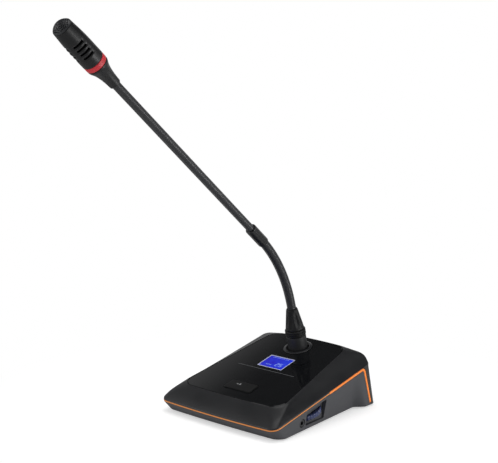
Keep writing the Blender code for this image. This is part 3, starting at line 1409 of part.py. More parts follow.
def make_screws():
    """Case screws with a six-sided drive, up through the floor into the posts."""
    top = FOOT_PROUD + SCREW_SUNK - GAP
    low = top - SCREW_HEAD_TALL
    for k, (x, y) in enumerate(post_places()):
        profile = ((0, low), (SCREW_HEAD_RADIUS, low), (SCREW_HEAD_RADIUS, top),
                   (SCREW_RADIUS, top), (SCREW_RADIUS, top + SCREW_LENGTH),
                   (0, top + SCREW_LENGTH + SCREW_RADIUS))
        screw = add_object("case_screw_%d" % (k + 1), turned(profile, PIN_SIDES), (x, y, 0),
                           smooth=math.radians(35))
        drive = rod(DRIVE_RADIUS, -OVERRUN, low + DRIVE_DEEP, DRIVE_SIDES)
        combine(screw, as_cutter(add_object("drive_%d" % (k + 1), drive, (x, y, 0))))
        paint(screw, "3C3D40", 0.35, metallic=0.9)


def build():
    clear_scene()
    panel = add_empty("panel_frame", (0, depth(0), PANEL_HEIGHT), PANEL_SLOPE)
    dial = add_empty("dial_frame", (WHEEL_X, depth(WHEEL_DEPTH), WHEEL_HEIGHT), PANEL_SLOPE)
    plug = add_empty("plug_frame", panel_point(0, SOCKET_UP, 0), PANEL_SLOPE)
    tilt = RIGHT_ANGLE - STEM_ELEVATION
    head = add_empty("head_frame", stem_place(head_foot()), tilt)
    make_top_shell(panel)
    make_lower_shell(dial)
    make_trim()
    make_panel_plate(panel)
    make_display(panel)
    make_talk_button(panel)
    make_talk_switch(panel)
    make_main_board(panel)
    make_socket_ring(panel)
    make_mic_socket(panel)
    make_plug(plug)
    make_collar(plug)
    make_boot(plug)
    make_neck()
    make_sleeve(tilt)
    make_stem(tilt)
    make_head_collar(head)
    make_light_ring(head)
    make_housing(head)
    make_grille(head)
    make_capsule(head)
    make_wheel(dial)
    make_dial(dial)
    make_jack()
    make_link_sockets()
    make_ballast()
    make_feet()
    make_screws()


build()
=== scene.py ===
import math

import bmesh
import bpy
import numpy as np
from mathutils import Matrix, Quaternion, Vector


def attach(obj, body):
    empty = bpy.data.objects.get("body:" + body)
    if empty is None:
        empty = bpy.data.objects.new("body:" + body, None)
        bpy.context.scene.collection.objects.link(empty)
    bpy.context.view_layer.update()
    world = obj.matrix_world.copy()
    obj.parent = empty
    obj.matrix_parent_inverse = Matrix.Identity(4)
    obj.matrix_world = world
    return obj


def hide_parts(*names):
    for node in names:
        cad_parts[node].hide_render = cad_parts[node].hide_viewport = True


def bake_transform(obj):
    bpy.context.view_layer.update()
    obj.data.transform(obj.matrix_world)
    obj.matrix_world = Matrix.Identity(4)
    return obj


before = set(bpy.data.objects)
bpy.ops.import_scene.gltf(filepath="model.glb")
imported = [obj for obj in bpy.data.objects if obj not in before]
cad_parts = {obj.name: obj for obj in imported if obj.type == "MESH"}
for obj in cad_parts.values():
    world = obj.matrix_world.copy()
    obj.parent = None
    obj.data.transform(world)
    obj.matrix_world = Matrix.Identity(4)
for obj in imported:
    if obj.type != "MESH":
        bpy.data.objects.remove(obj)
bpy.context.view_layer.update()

# Clearances, as in the solid model
GAP = 0.0003
SLIDE_GAP = 0.00045
OVERRUN = 0.006

# Meshing: points closer than this become one, the most of a leg that a soft corner takes, how far a
# cutting tool passes a face, and the spacing of the base's rows
MERGE_WITHIN, LEG_SHARE, CUT_PAST, ROW_SPACING = 0.0000002, 0.48, 0.001, 0.005
# Points along the base's half front, front corner, side, rear corner and half rear
OUTLINE_POINTS = (25, 17, 71, 13, 19)

# Base: depths from the front corners, heights from the desk
BASE_DEPTH = 0.150
BASE_HALF_WIDTH = 0.0725
BASE_REAR = 0.1465
BASE_WALL = 0.0022
FLOOR_WALL = 0.0026
FOOT_PROUD = 0.001
FRONT_BOW = 0.0019
CORNER_FRONT, CORNER_REAR = 0.008, 0.009
BELT_FRONT_HEIGHT = 0.01116
BELT_SLOPE = math.radians(12.23)
LIP_UP, LIP_DOWN = 0.0017, 0.0008
GROUND_FRONT, GROUND_REAR = 0.0079, 0.1527
GROUND_HALF_WIDTH = 0.0719
GROUND_CORNER_FRONT, GROUND_CORNER_REAR = 0.0095, 0.0028
WAIST_START, WAIST_END, WAIST_INSET, FOOT_FLUSH = 0.017, 0.127, 0.0082, 0.139
SHOULDER_REAR, SHOULDER_SHARE, SHOULDER_LIFT = 0.1463, 0.62, 0.0008
SHOULDER_CORNER_FRONT, SHOULDER_CORNER_REAR = 0.006, 0.0015
# How far the foot draws in, and the reach of each soft corner up the section
FOOT_DRAWN_IN, BODY_SOFT = 0.002, (0.0009, 0.0004, 0.0007, 0.007, 0.0012)

# Sloping panel
PANEL_HEIGHT = 0.02159
PANEL_SLOPE = math.radians(13.66)
PANEL_FRONT, PANEL_REAR = 0.01968, 0.14543
PANEL_FRONT_HALF, PANEL_REAR_HALF = 0.0623, 0.04675
PANEL_FRONT_BOW, PANEL_REAR_BOW = 0.00195, 0.0026
PANEL_CORNER_FRONT, PANEL_CORNER_REAR = 0.012, 0.013
PANEL_THICK = 0.002
ROOF_UNDER = PANEL_THICK + GAP + 0.002
RIM_FLAT, RIM_OUT, RIM_DROP, ROOF_SPREAD = 0.0006, 0.0024, 0.0008, 0.0015
WINDOW_ROUND, ROOF_CLEAR = 0.0004, 0.0008
# Inset and height of each step of the plate's rounded edge
PANEL_EDGE = ((0, -0.0006), (0.0003, -0.0002), (0.0006, 0))

# Trim in the seam. BAR_SUNK is left free along both edges of the thick bars, as a dark line
TRIM_THICK, ACCENT_THICK, ACCENT_START, BAR_SUNK = 0.0009, 0.0025, 0.0794, 0.0002
APEX, APEX_RADIUS, REAR_LEAN, ACCENT_END_HEIGHT = 0.1337, 0.0035, math.radians(18.3), 0.0039

# Panel pieces
DISPLAY_UP, DISPLAY_WIDTH, DISPLAY_LENGTH = 0.09019, 0.0313, 0.0235
FRAME_MARGIN = 0.00045   # edge of the display's frame that stays unpainted
BUTTON_UP, BUTTON_WIDTH, BUTTON_LENGTH, BUTTON_ROUND = 0.03709, 0.0322, 0.0141, 0.0012
BUTTON_PROUD, BUTTON_EDGE, BUTTON_UNDER = 0.0012, 0.0005, 0.0035
BUTTON_EDGE_START = 0.2   # angle on its quarter circle at which the key's rounded edge starts
# Key's sign: half width, half height, rounding, and place across and up from the key's middle
TALK_SIGN = ((0.0005, 0.0011, 0.00045, -0.0022, 0.0018),
             (0.0011, 0.00032, 0.0003, -0.0052, 0.0014))
LINE_UP, LINE_HALF, LINE_WIDE, LINE_INK = 0.07367, 0.0354, 0.0006, 0.00003
LINE_ROUND = LINE_WIDE / 2.2
SOCKET_UP = 0.1247
RING_OUTER, RING_RIDGE, RING_INNER, RING_SPIGOT = 0.0145, 0.01255, 0.0112, 0.0127
RING_RISE, RING_SOFT = 0.0012, (0, 0, 0.0001, 0.0003, 0.0007, 0.0004, 0.0004)

# Microphone plug, measured up from the panel
PLUG_RADIUS, PLUG_TALL, PLUG_ROUND, PLUG_FOOT = 0.0099, 0.0145, 0.0012, -0.0136
PLUG_STEP, PLUG_STEP_BELOW, PLUG_SOFT = 0.0005, 0.002, (0.0003, 0, 0.0002, PLUG_ROUND)
COLLAR_TOP, COLLAR_RADIUS, COLLAR_GROOVE, COLLAR_RIBS = 0.021, 0.0103, 0.0007, 3
# One rib: share of its pitch, 1 where it stands out, and reach of the soft corner
COLLAR_RIB = ((0, 0, 0.0001), (0.12, 1, 0.0003), (0.7, 1, 0.0003), (0.82, 0, 0.0001))
COLLAR_END_SOFT = 0.0002
BOOT_TOP, BOOT_FOOT_RADIUS, BOOT_TIP_RADIUS = 0.0432, 0.0094, 0.0056
BOOT_FLUTES, BOOT_FLUTE_DEEP, BOOT_FLUTE_SHARES = 8, 0.0013, (0.08, 0.9)
# Ends of the boot, as shares of its length and of its radius: where the tip starts to round in,
# over what length and by how much, and for the foot its length and how much
BOOT_TIP_SOFT, BOOT_FOOT_SOFT = (0.93, 0.07, 0.10), (0.05, 0.04)

# Neck, sleeve and stem
NECK_RADIUS, NECK_BEND, NECK_LINKS = 0.0045, 0.1414, 6
STEM_ELEVATION = math.radians(40.05)
SLEEVE_RADIUS, SLEEVE_LENGTH, SLEEVE_GRIP, SLEEVE_CHAMFER = 0.00545, 0.024, 0.005, 0.0009
SLEEVE_ENDS, SLEEVE_SOFT = (0.0001, 0.0002), 0.0006
STEM_RADIUS, STEM_RUN = 0.00385, 0.215
# How far each hose runs on inside what holds its end
NECK_IN_BOOT, NECK_IN_SLEEVE, STEM_IN_SLEEVE, STEM_IN_HEAD = 0.004, 0.002, 0.004, 0.003
HEAD_LINK, HEAD_LINK_BELOW = 0.016, 0.012
RIB_PITCH, RIB_DEEP = 0.0013, 0.00014
NECK_RIB_PITCH, NECK_RIB_DEEP, RIB_ROWS = 0.0015, 0.00012, 6

# Microphone head, lengths from the foot of its collar
HEAD_PROFILE = ((0.0051, 0), (0.00525, 0.004), (0.00595, 0.0113), (0.00745, 0.0184),
                (0.0096, 0.0229), (0.0096, 0.0248))
CONE_SOFT = (0.0003, 0.002, 0.004, 0.004, 0.002, 0.0003)
LIGHT_START, LIGHT_LENGTH, LIGHT_RADIUS, LIGHT_SOFT = 0.0251, 0.0046, 0.00975, 0.0005
HEAD_RADIUS, HEAD_TAPER_START, HEAD_TOP = 0.00985, 0.052, 0.069
HEAD_TOP_RADIUS, HEAD_BORE, HEAD_SOFT = 0.0086, 0.0076, (0.0005, 0.006, 0.0003)
SLOT_ROWS, SLOT_FIRST, SLOT_PITCH, SLOT_WIDE, SLOT_DISH = 4, 0.0392, 0.0044, 0.0019, 0.0005
SLOT_HALF_ANGLE = math.radians(31)
# Shares of half a slot: its straight part, its rounded end, its dish's end, and the dish's fade
SLOT_STRAIGHT, SLOT_ROUNDED, DISH_END, DISH_FADE = 0.86, 0.14, 1.3, 0.5
SLOT_CLOSES = 0.995   # of the rounded end, where the slot stops just short of a point
SLOT_TURNS = (math.radians(-28), math.radians(-118), math.radians(152))
FOAM_PAST_LIGHT, FOAM_PAST_TAPER = 0.001, 0.005
CAP_TIP, CAP_SHOULDER, CAP_SHOULDER_RADIUS, CAP_TIP_RADIUS = 0.0741, 0.0704, 0.0079, 0.006
CAP_RIM, CAP_SOFT = 0.001, (0.0015, 0.0012, 0.002)
# Dome: its rise, sheet, and one point as shares of the tip's radius and of the fall from the top
GRILLE_DOME, GRILLE_THICK, GRILLE_POINT = 0.0019, 0.001, (0.6, 0.36)
# The grille's holes are coarser than real ones of about 0.5 mm, which would not show
GRILLE_HOLE, GRILLE_PITCH, GRILLE_ROWS = 0.00062, 0.0016, 5

# Side controls
POCKET_FRONT, POCKET_REAR, POCKET_FLOOR, POCKET_TOP_LIP = 0.046, 0.0755, 0.005, 0.0035
POCKET_BACK, POCKET_WALL, POCKET_ROUND = 0.0665, 0.0022, 0.0015
WHEEL_RADIUS, WHEEL_THICK, WHEEL_TEETH, WHEEL_TOOTH = 0.0165, 0.0045, 34, 0.0005
# Wheel's flat faces: bore, radius of the sunk middle, start of the rim, and depth of the middle
WHEEL_BORE, WHEEL_DISH, WHEEL_LAND, WHEEL_SUNK = 0.003, 0.011, 0.0115, 0.0003
WHEEL_EDGE, WHEEL_EDGE_TOOTH = 0.0005, 0.6
WHEEL_X, WHEEL_DEPTH, WHEEL_HEIGHT = 0.0545, 0.0628, 0.012
JACK_DEPTH, JACK_HEIGHT, JACK_FACE = 0.0404, 0.009, 0.0707
JACK_BARREL, JACK_WELL, JACK_BORE, JACK_SOFT = 0.0033, 0.0041, 0.0018, 0.0004
JACK_WELL_DEEP, JACK_BORE_DEEP, JACK_DEEP = 0.0112, 0.009, 0.0125

# Rear sockets and underside
LINK_X, LINK_WIDE, LINK_TALL, LINK_LOW = 0.0098, 0.0156, 0.0132, 0.0072
LINK_FACE, LINK_DEEP = 0.1485, 0.021
PAD_RADIUS, PAD_SUNK, PAD_EDGE = 0.006, 0.001, 0.0003
PAD_SOFT = (PAD_EDGE * 1.5, 0)
PAD_PLACES = ((0.061, 0.019), (0.052, 0.134))
POST_PLACES = ((0.052, 0.028), (0.044, 0.118))
SCREW_HEAD_RADIUS, SCREW_RADIUS, SCREW_SUNK, SCREW_TALL = 0.0028, 0.0014, 0.0022, 0.0016
SCREW_LONG, SCREW_END, SCREW_SOFT = 0.010, 0.011, (0.0006, 0.0001, 0, 0.0002)
DRIVE_ARM, DRIVE_DEEP, DRIVE_ROUND = (0.0016, 0.0003), 0.0009, 0.0001

# Camera, fitted to the photograph's frame of 498 by 463
CAMERA_PLACE = (0.68981, -0.80489, 0.34893)
CAMERA_AZIMUTH, CAMERA_ELEVATION, CAMERA_ROLL = 0.7255319, 0.1633762, -0.0021115
SENSOR, CAMERA_REACH = 36, 20
FOCAL_PIXELS, PHOTO_WIDTH = 1129.993, 498
CAMERA_LENS = SENSOR * FOCAL_PIXELS / PHOTO_WIDTH

# Stage: ways to the backdrop and to the card whose glow fades across the panel. Each smooth step is
# given as its start, its end, and the values at either
BACKDROP_WAY, BACKDROP_STEP = (-0.664, 0.748, 0), (0.35, 0.9, 0.05, 1.0)
SKY_STEP = (0.08, 0.4, 0.7, 0.0)
CARD_WAY, CARD_STEP = (-0.611, 0.100, -0.785), (-0.026, 0.036, 0.045, 0.52)
CARD_FADE, CARD_TOP = (0.06, 0.3, 1.0, 0.3), (0.6, 0.75, 1.0, 0.2)
SOFT_LIGHT = 0.5   # of the world on matt surfaces
# Floor: its reach, the ring in which it turns to plain white, the width of its paper's fibre, and
# its own light near the object and away from it, each to the eye and in mirrors
FLOOR_REACH, FLOOR_RING, FLOOR_FIBRE = 6, (0.12, 0.3), 0.004
FLOOR_NEAR, FLOOR_AWAY = (0.45, 0.15), (1.0, 0.4)
WHITE = (1, 1, 1, 1)
# Lamps: name, place, point aimed at, size, power in watts
MIDDLE = (0, -0.06, 0.12)
LAMPS = (("overhead", (0.1, -0.1, 1.7), MIDDLE, (1.1, 1.1), 9),
         ("left_side", (-1.2, -0.95, 1.0), MIDDLE, (0.3, 0.6), 5),
         ("right_back", (0.85, 0.8, 0.42), (0, -0.15, 0.25), (0.6, 0.5), 1.3),
         ("head_side", (0.83, 0.22, 0.07), (0, -0.23, 0.35), (0.28, 0.22), 3),
         ("front_low", (-0.4, -1.5, 0.5), (0, -0.07, 0.02), (1.2, 0.4), 3.5))


# Arrays of points

def depth(distance):
    """Model position of a distance from the base's front corners."""
    return distance - BASE_DEPTH / 2


def ease(share):
    """Smooth step: the share squared times three less twice the share."""
    share = np.clip(share, 0, 1)
    return share * share * (3 - 2 * share)


def corner_arc(before, tip, after, radius, count):
    """Arc that rounds a corner: its centre plus its two end spokes, weighted by the sines of the
    angles to either end over the sine of the whole sweep."""
    before, tip, after = (np.array(p, float) for p in (before, tip, after))
    one = (before - tip) / np.linalg.norm(before - tip)
    two = (after - tip) / np.linalg.norm(after - tip)
    half = math.acos(float(one @ two)) / 2
    middle = (one + two) / np.linalg.norm(one + two)
    centre = tip + middle * radius / math.sin(half)
    start, end = (tip + way * radius / math.tan(half) - centre for way in (one, two))
    sweep = math.pi - 2 * half
    turn = np.linspace(0, sweep, count)[:, None]
    return centre + (start * np.sin(sweep - turn) + end * np.sin(turn)) / math.sin(sweep)


def rounded_rectangle(half_x, half_y, radius, count=7):
    """Rectangle with an arc in each corner, as one closed run of (x, y) points."""
    corners = ((-half_x, -half_y), (half_x, -half_y), (half_x, half_y), (-half_x, half_y))
    return np.vstack([corner_arc(corners[k - 1], corners[k], corners[(k + 1) % 4], radius, count)
                      for k in range(4)])


def wedge_outline(front_half, rear_half, front, rear, front_bow, rear_bow, front_round, rear_round,
                  tuck=None):
    """Closed outline of the base at one level: straight front, arc, side, arc, straight rear, and
    its mirror image. The front and rear lines bow by one less the square of the share of width."""
    ahead_count, front_count, side_count, rear_count, behind_count = OUTLINE_POINTS
    arc_front = corner_arc((0, front), (front_half, front), (rear_half, rear), front_round,
                           front_count)
    arc_rear = corner_arc((front_half, front), (rear_half, rear), (0, rear), rear_round, rear_count)
    ahead = np.linspace((0, front), arc_front[0], ahead_count)[:-1]
    side = np.linspace(arc_front[-1], arc_rear[0], side_count)[1:-1]
    behind = np.linspace(arc_rear[-1], (0, rear), behind_count)[1:]
    x, y = np.vstack((ahead, arc_front, side, arc_rear, behind)).T
    in_front = y < (front + rear) / 2
    width = np.where(in_front, front_half, rear_half)
    fall = 1 - np.minimum(np.abs(x) / width, 1) ** 2
    tucked = x - tuck(y) * ease(x / width) if tuck else x
    y = y + np.where(in_front, -front_bow * fall, rear_bow * (fall - 1))
    half = np.stack((tucked, y), -1)
    return np.vstack((half, half[-2:0:-1] * (-1, 1)))


def belt_height(distance):
    """Height of the seam's plane, which rises evenly to the rear."""
    return BELT_FRONT_HEIGHT + math.tan(BELT_SLOPE) * distance


def waist(distance):
    """Tuck of the wall at the desk: it grows evenly to the waist's end, then eases out."""
    growing = WAIST_INSET * np.clip((distance - WAIST_START) / (WAIST_END - WAIST_START), 0, 1)
    fading = 1 - ease((distance - WAIST_END) / (FOOT_FLUSH - WAIST_END))
    return growing * fading


def ground_ring(shrink, front, height):
    """Level outline of the lower shell with its waist, drawn in by shrink."""
    x, y = wedge_outline(GROUND_HALF_WIDTH - shrink, GROUND_HALF_WIDTH - shrink, front,
                         GROUND_REAR - shrink, FRONT_BOW, 0, GROUND_CORNER_FRONT,
                         GROUND_CORNER_REAR, waist).T
    return np.stack((x, depth(y), np.full_like(x, height)), -1)


def belt_ring(shrink, rise):
    """Widest outline of the base, laid on the seam's plane and lifted by rise."""
    x, y = wedge_outline(BASE_HALF_WIDTH - shrink, BASE_HALF_WIDTH - shrink, shrink,
                         BASE_REAR - shrink, FRONT_BOW, 0, CORNER_FRONT - shrink,
                         CORNER_REAR - shrink).T
    return np.stack((x, depth(y), belt_height(y) + rise), -1)


def panel_outline(grow):
    """The panel's outline in its own plane, grown by a width all round."""
    return wedge_outline(PANEL_FRONT_HALF + grow, PANEL_REAR_HALF + grow, PANEL_FRONT - grow,
                         PANEL_REAR + grow, PANEL_FRONT_BOW, PANEL_REAR_BOW,
                         PANEL_CORNER_FRONT + grow, PANEL_CORNER_REAR + grow)


def panel_ring(grow, over):
    """The panel's outline carried into place: tipped about X by the slope, over its own plane."""
    x, y = panel_outline(grow).T
    cos, sin = math.cos(PANEL_SLOPE), math.sin(PANEL_SLOPE)
    return np.stack((x, depth(0) + y * cos - over * sin, PANEL_HEIGHT + y * sin + over * cos), -1)


def shoulder_ring():
    """Ring up the bevel, set nearer the belt's outline by a share, whose height is the mean of the
    belt's and the rim's planes plus a lift that grows evenly to the rear."""
    rest = 1 - SHOULDER_SHARE
    x, y = wedge_outline(BASE_HALF_WIDTH - (BASE_HALF_WIDTH - PANEL_FRONT_HALF - RIM_OUT) * rest,
                         BASE_HALF_WIDTH - (BASE_HALF_WIDTH - PANEL_REAR_HALF - RIM_OUT) * rest,
                         (PANEL_FRONT - RIM_OUT) * math.cos(PANEL_SLOPE) * rest, SHOULDER_REAR,
                         FRONT_BOW, 0, SHOULDER_CORNER_FRONT, SHOULDER_CORNER_REAR).T
    rim = PANEL_HEIGHT + math.tan(PANEL_SLOPE) * y - RIM_DROP
    return np.stack((x, depth(y), (belt_height(y) + LIP_UP + rim) / 2
                     + SHOULDER_LIFT * y / SHOULDER_REAR), -1)


def softened(points, reaches, steps=5):
    """Run of points or of whole rings with soft corners. Each corner becomes a quadratic curve that
    starts and ends its reach away along both legs, at most just under half a leg."""
    points = np.array(points, float)
    rows = [points[:1]]
    share = np.linspace(0, 1, steps + 1).reshape((-1,) + (1,) * (points.ndim - 1))
    for k, reach in enumerate(reaches, start=1):
        if not reach:
            rows.append(points[k:k + 1])
            continue
        legs = [points[j] - points[k] for j in (k - 1, k + 1)]
        sizes = [np.linalg.norm(leg, axis=-1, keepdims=True) for leg in legs]
        start, end = (points[k] + leg * np.minimum(reach / size, LEG_SHARE)
                      for leg, size in zip(legs, sizes))
        rows.append((1 - share) ** 2 * start + 2 * share * (1 - share) * points[k]
                    + share ** 2 * end)
    rows.append(points[-1:])
    return np.concatenate(rows)


def filled(rows, longest):
    """Rings with more rings evenly between any two that lie further apart than longest."""
    parts = []
    for low, high in zip(rows, rows[1:]):
        count = int(np.linalg.norm(high - low, axis=-1).max() / longest) + 1
        share = (np.arange(count) / count)[:, None, None]
        parts.append(low + (high - low) * share)
    return np.concatenate(parts + [rows[-1:]])


# Meshes from arrays

def to_mesh(name, points, faces):
    """Closed mesh of points and faces, its doubles merged and its faces turned outwards."""
    mesh = bpy.data.meshes.new(name)
    mesh.from_pydata(np.asarray(points).reshape(-1, 3).tolist(), [], faces)
    bm = bmesh.new()
    bm.from_mesh(mesh)
    bmesh.ops.remove_doubles(bm, verts=bm.verts, dist=MERGE_WITHIN)
    bmesh.ops.recalc_face_normals(bm, faces=bm.faces)
    bm.to_mesh(mesh)
    bm.free()
    return mesh


def quads(rows, columns, ring=False):
    """Quads of a grid that wraps round its columns, and round its rows too where it is a ring."""
    row = np.arange(rows if ring else rows - 1)[:, None]
    column = np.arange(columns)[None]
    ahead, beyond = (column + 1) % columns, (row + 1) % rows
    grid = np.stack((row * columns + column, row * columns + ahead, beyond * columns + ahead,
                     beyond * columns + column), -1)
    return grid.reshape(-1, 4).tolist()


def stacked(name, rows, ring=False):
    """Solid through closed rings of equal count, capped at both ends unless it is a ring."""
    rows = np.asarray(rows, float)
    count, columns = rows.shape[:2]
    faces = quads(count, columns, ring)
    if not ring:
        faces += [list(range(columns)), list(range((count - 1) * columns, count * columns))]
    return to_mesh(name, rows, faces)


def turned(name, profile, sides=96, ring=False):
    """Profile of (radius, height) points carried round Z: x and y are the radius times the cosine
    and the sine of the angle."""
    profile = np.asarray(profile, float)
    angle = np.linspace(0, 2 * math.pi, sides, endpoint=False)
    radius, height = profile[:, :1], profile[:, 1:]
    points = np.stack((radius * np.cos(angle), radius * np.sin(angle),
                       height + np.zeros_like(angle)), -1)
    return to_mesh(name, points, quads(len(profile), sides, ring))


def prism(name, outline, low, high, along="Z"):
    """Flat outline run from low to high along an axis; (x, y) points for Z, (y, z) points for X."""
    outline = np.asarray(outline, float)
    ends = [np.full(len(outline), level) for level in (low, high)]
    if along == "Z":
        rows = [np.stack((outline[:, 0], outline[:, 1], end), -1) for end in ends]
    else:
        rows = [np.stack((end, outline[:, 0], outline[:, 1]), -1) for end in ends]
    return stacked(name, rows)


def slab(name, outline, levels):
    """Solid of one outline at several levels, each drawn in by its own inset towards the middle."""
    outline = np.asarray(outline, float)
    middle = (outline.max(0) + outline.min(0)) / 2
    half = (outline.max(0) - outline.min(0)) / 2
    rows = []
    for inset, height in levels:
        flat = middle + (outline - middle) * (half - inset) / half
        rows.append(np.column_stack((flat, np.full(len(flat), height))))
    return stacked(name, rows)


def rod(name, radius, low, high, middle=(0, 0), sides=48):
    """Upright cylinder about a middle in plan."""
    mesh = turned(name, ((0, low), (radius, low), (radius, high), (0, high)), sides)
    mesh.transform(Matrix.Translation((middle[0], middle[1], 0)))
    return mesh


def placed(mesh, place, tilt=0, axis="X"):
    """The mesh tipped about an axis through its origin, then moved."""
    mesh.transform(Matrix.Translation(place) @ Matrix.Rotation(tilt, 4, axis))
    return mesh


def worked(mesh, *steps):
    """The mesh after cuts, joins or common parts with closed meshes, one step after another."""
    blank = bpy.data.objects.new("blank", mesh)
    tools = []
    bpy.context.scene.collection.objects.link(blank)
    for operation, tool_mesh in steps:
        tool = bpy.data.objects.new("tool", tool_mesh)
        bpy.context.scene.collection.objects.link(tool)
        tools.append(tool)
        step = blank.modifiers.new("step", "BOOLEAN")
        step.operation, step.solver, step.object = operation, "EXACT", tool
    bpy.context.view_layer.update()
    shown = blank.evaluated_get(bpy.context.evaluated_depsgraph_get())
    made = bpy.data.meshes.new_from_object(shown)
    for item in [blank] + tools:
        bpy.data.objects.remove(item)
    return made


def piece(name, mesh, body, finish, stands_for=(), sharp=35):
    """Finished piece that moves with a body, if one is named, in place of solids."""
    mesh.name = name
    mesh.shade_smooth()
    mesh.set_sharp_from_angle(angle=math.radians(sharp))
    mesh.materials.clear()
    mesh.materials.append(finish)
    item = bpy.data.objects.new(name, mesh)
    bpy.context.scene.collection.objects.link(item)
    if body:
        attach(item, body)
    if stands_for:
        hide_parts(*stands_for)
    return item


# Finishes

def linear_colour(code):
    """Linear colour of an sRGB hex value: a straight line near black, and above it the channel plus
    an offset, over one plus that offset, to the power 2.4."""
    channels = np.array([int(code[k:k + 2], 16) for k in (0, 2, 4)]) / 255
    channels = np.where(channels <= 0.04045, channels / 12.92, ((channels + 0.055) / 1.055) ** 2.4)
    return (*channels.tolist(), 1.0)


def add(tree, kind, inputs=None, **settings):
    """Add a node, set its properties, and fill its inputs with values, with outputs of other nodes,
    or with other nodes, each of which stands for its first live output."""
    made = tree.nodes.new(kind)
    for name, value in settings.items():
        setattr(made, name, value)
    for name, value in (inputs or {}).items():
        if isinstance(value, bpy.types.Node):
            value = next(output for output in value.outputs if output.enabled)
        if isinstance(value, bpy.types.NodeSocket):
            tree.links.new(value, made.inputs[name])
        else:
            made.inputs[name].default_value = value
    return made


def new_finish(name, **shader):
    """Material with a Principled shader set as given, and its tree, shader and coordinates."""
    material = bpy.data.materials.new(name)
    material.use_nodes = True
    tree = material.node_tree
    principled = tree.nodes["Principled BSDF"]
    for socket, value in shader.items():
        principled.inputs[socket.replace("_", " ")].default_value = value
    place = add(tree, "ShaderNodeTexCoord").outputs["Object"]
    return material, tree, principled, place


# Soft patches of two close colours, 20 mm wide, whose noise also sways the roughness by a tenth.
# Moulded and sprayed grain is 0.02 to 0.1 mm wide, too fine to show, so the bumps are drawn as
# coarse as they need to show, at 0.5 to 4 mm
PATCH, PATCH_RANGE, SWAY, RELIEF_SHARE = 0.02, (0.3, 0.7), 0.1, 0.6


def surface(name, dark, pale, roughness, grain, relief, **shader):
    """Finish of two close colours in soft patches, a roughness that wanders with them, and fine
    relief. grain is the width of the relief's bumps and relief their height, in metres."""
    material, tree, principled, place = new_finish(name, **shader)
    cloud = add(tree, "ShaderNodeTexNoise", {"Vector": place, "Scale": 1 / PATCH, "Detail": 3.0})
    colour = add(tree, "ShaderNodeMix", {"Factor": cloud, "A": linear_colour(dark),
                                         "B": linear_colour(pale)}, data_type="RGBA")
    rough = add(tree, "ShaderNodeMapRange", {
        "Value": cloud, "From Min": PATCH_RANGE[0], "From Max": PATCH_RANGE[1],
        "To Min": roughness * (1 - SWAY), "To Max": roughness * (1 + SWAY)})
    fine = add(tree, "ShaderNodeTexNoise", {"Vector": place, "Scale": 1 / grain, "Detail": 2.0})
    bump = add(tree, "ShaderNodeBump", {"Height": fine, "Distance": relief,
                                        "Strength": RELIEF_SHARE})
    tree.links.new(colour.outputs["Result"], principled.inputs["Base Color"])
    tree.links.new(rough.outputs["Result"], principled.inputs["Roughness"])
    tree.links.new(bump.outputs["Normal"], principled.inputs["Normal"])
    return material


def panel_position(tree, place):
    """Sockets with the place across and up the panel's plane, from the middle of its front edge."""
    flat = add(tree, "ShaderNodeVectorRotate", {"Vector": place, "Angle": -PANEL_SLOPE,
                                                "Center": (0, depth(0), PANEL_HEIGHT)},
               rotation_type="X_AXIS")
    where = add(tree, "ShaderNodeSeparateXYZ", {"Vector": flat.outputs["Vector"]})
    return where.outputs["X"], where.outputs["Y"]


def in_box(tree, across, up, middle, half):
    """One inside a rectangle of the panel's plane, given by its middle and half sizes, else zero: a
    test across times a test up."""
    tests = [add(tree, "ShaderNodeMath", {0: value, 1: centre, 2: reach}, operation="COMPARE")
             for value, centre, reach in zip((across, up), middle, half)]
    return add(tree, "ShaderNodeMath", {0: tests[0], 1: tests[1]}, operation="MULTIPLY")


# Widths of the soft patches in the frame's paint and in the display's light
FRAME_PATCH, GLOW_PATCH = 0.006, 0.007
# Display: rise of its light per metre across, range of noise and rise that spans its two blues,
# how far its marks cover the blue, and the strength of its light
GLOW_RISE, GLOW_RANGE, MARKS_COVER, DISPLAY_GLOW = 14.0, (0.25, 0.85), 0.5, 0.27


def frame_finish():
    """Painted ABS bezel: pale grey with a cold cast from the backlight, which draws a thin bright
    outline. Its outer edge is left black, where the paint stops short."""
    material, tree, principled, place = new_finish("ABS_painted_pale_grey", Roughness=0.4, IOR=1.53)
    inside = in_box(tree, *panel_position(tree, place), (0.0, depth(0) + DISPLAY_UP),
                    (DISPLAY_WIDTH / 2 - FRAME_MARGIN, DISPLAY_LENGTH / 2 - FRAME_MARGIN))
    cloud = add(tree, "ShaderNodeTexNoise", {"Vector": place, "Scale": 1 / FRAME_PATCH,
                                             "Detail": 2.0})
    paint = add(tree, "ShaderNodeMix", {"Factor": cloud, "A": linear_colour("BCC1E2"),
                                        "B": linear_colour("CCD0EA")}, data_type="RGBA")
    both = add(tree, "ShaderNodeMix", {"Factor": inside, "A": linear_colour("141517"), "B": paint},
               data_type="RGBA")
    tree.links.new(both.outputs["Result"], principled.inputs["Base Color"])
    return material


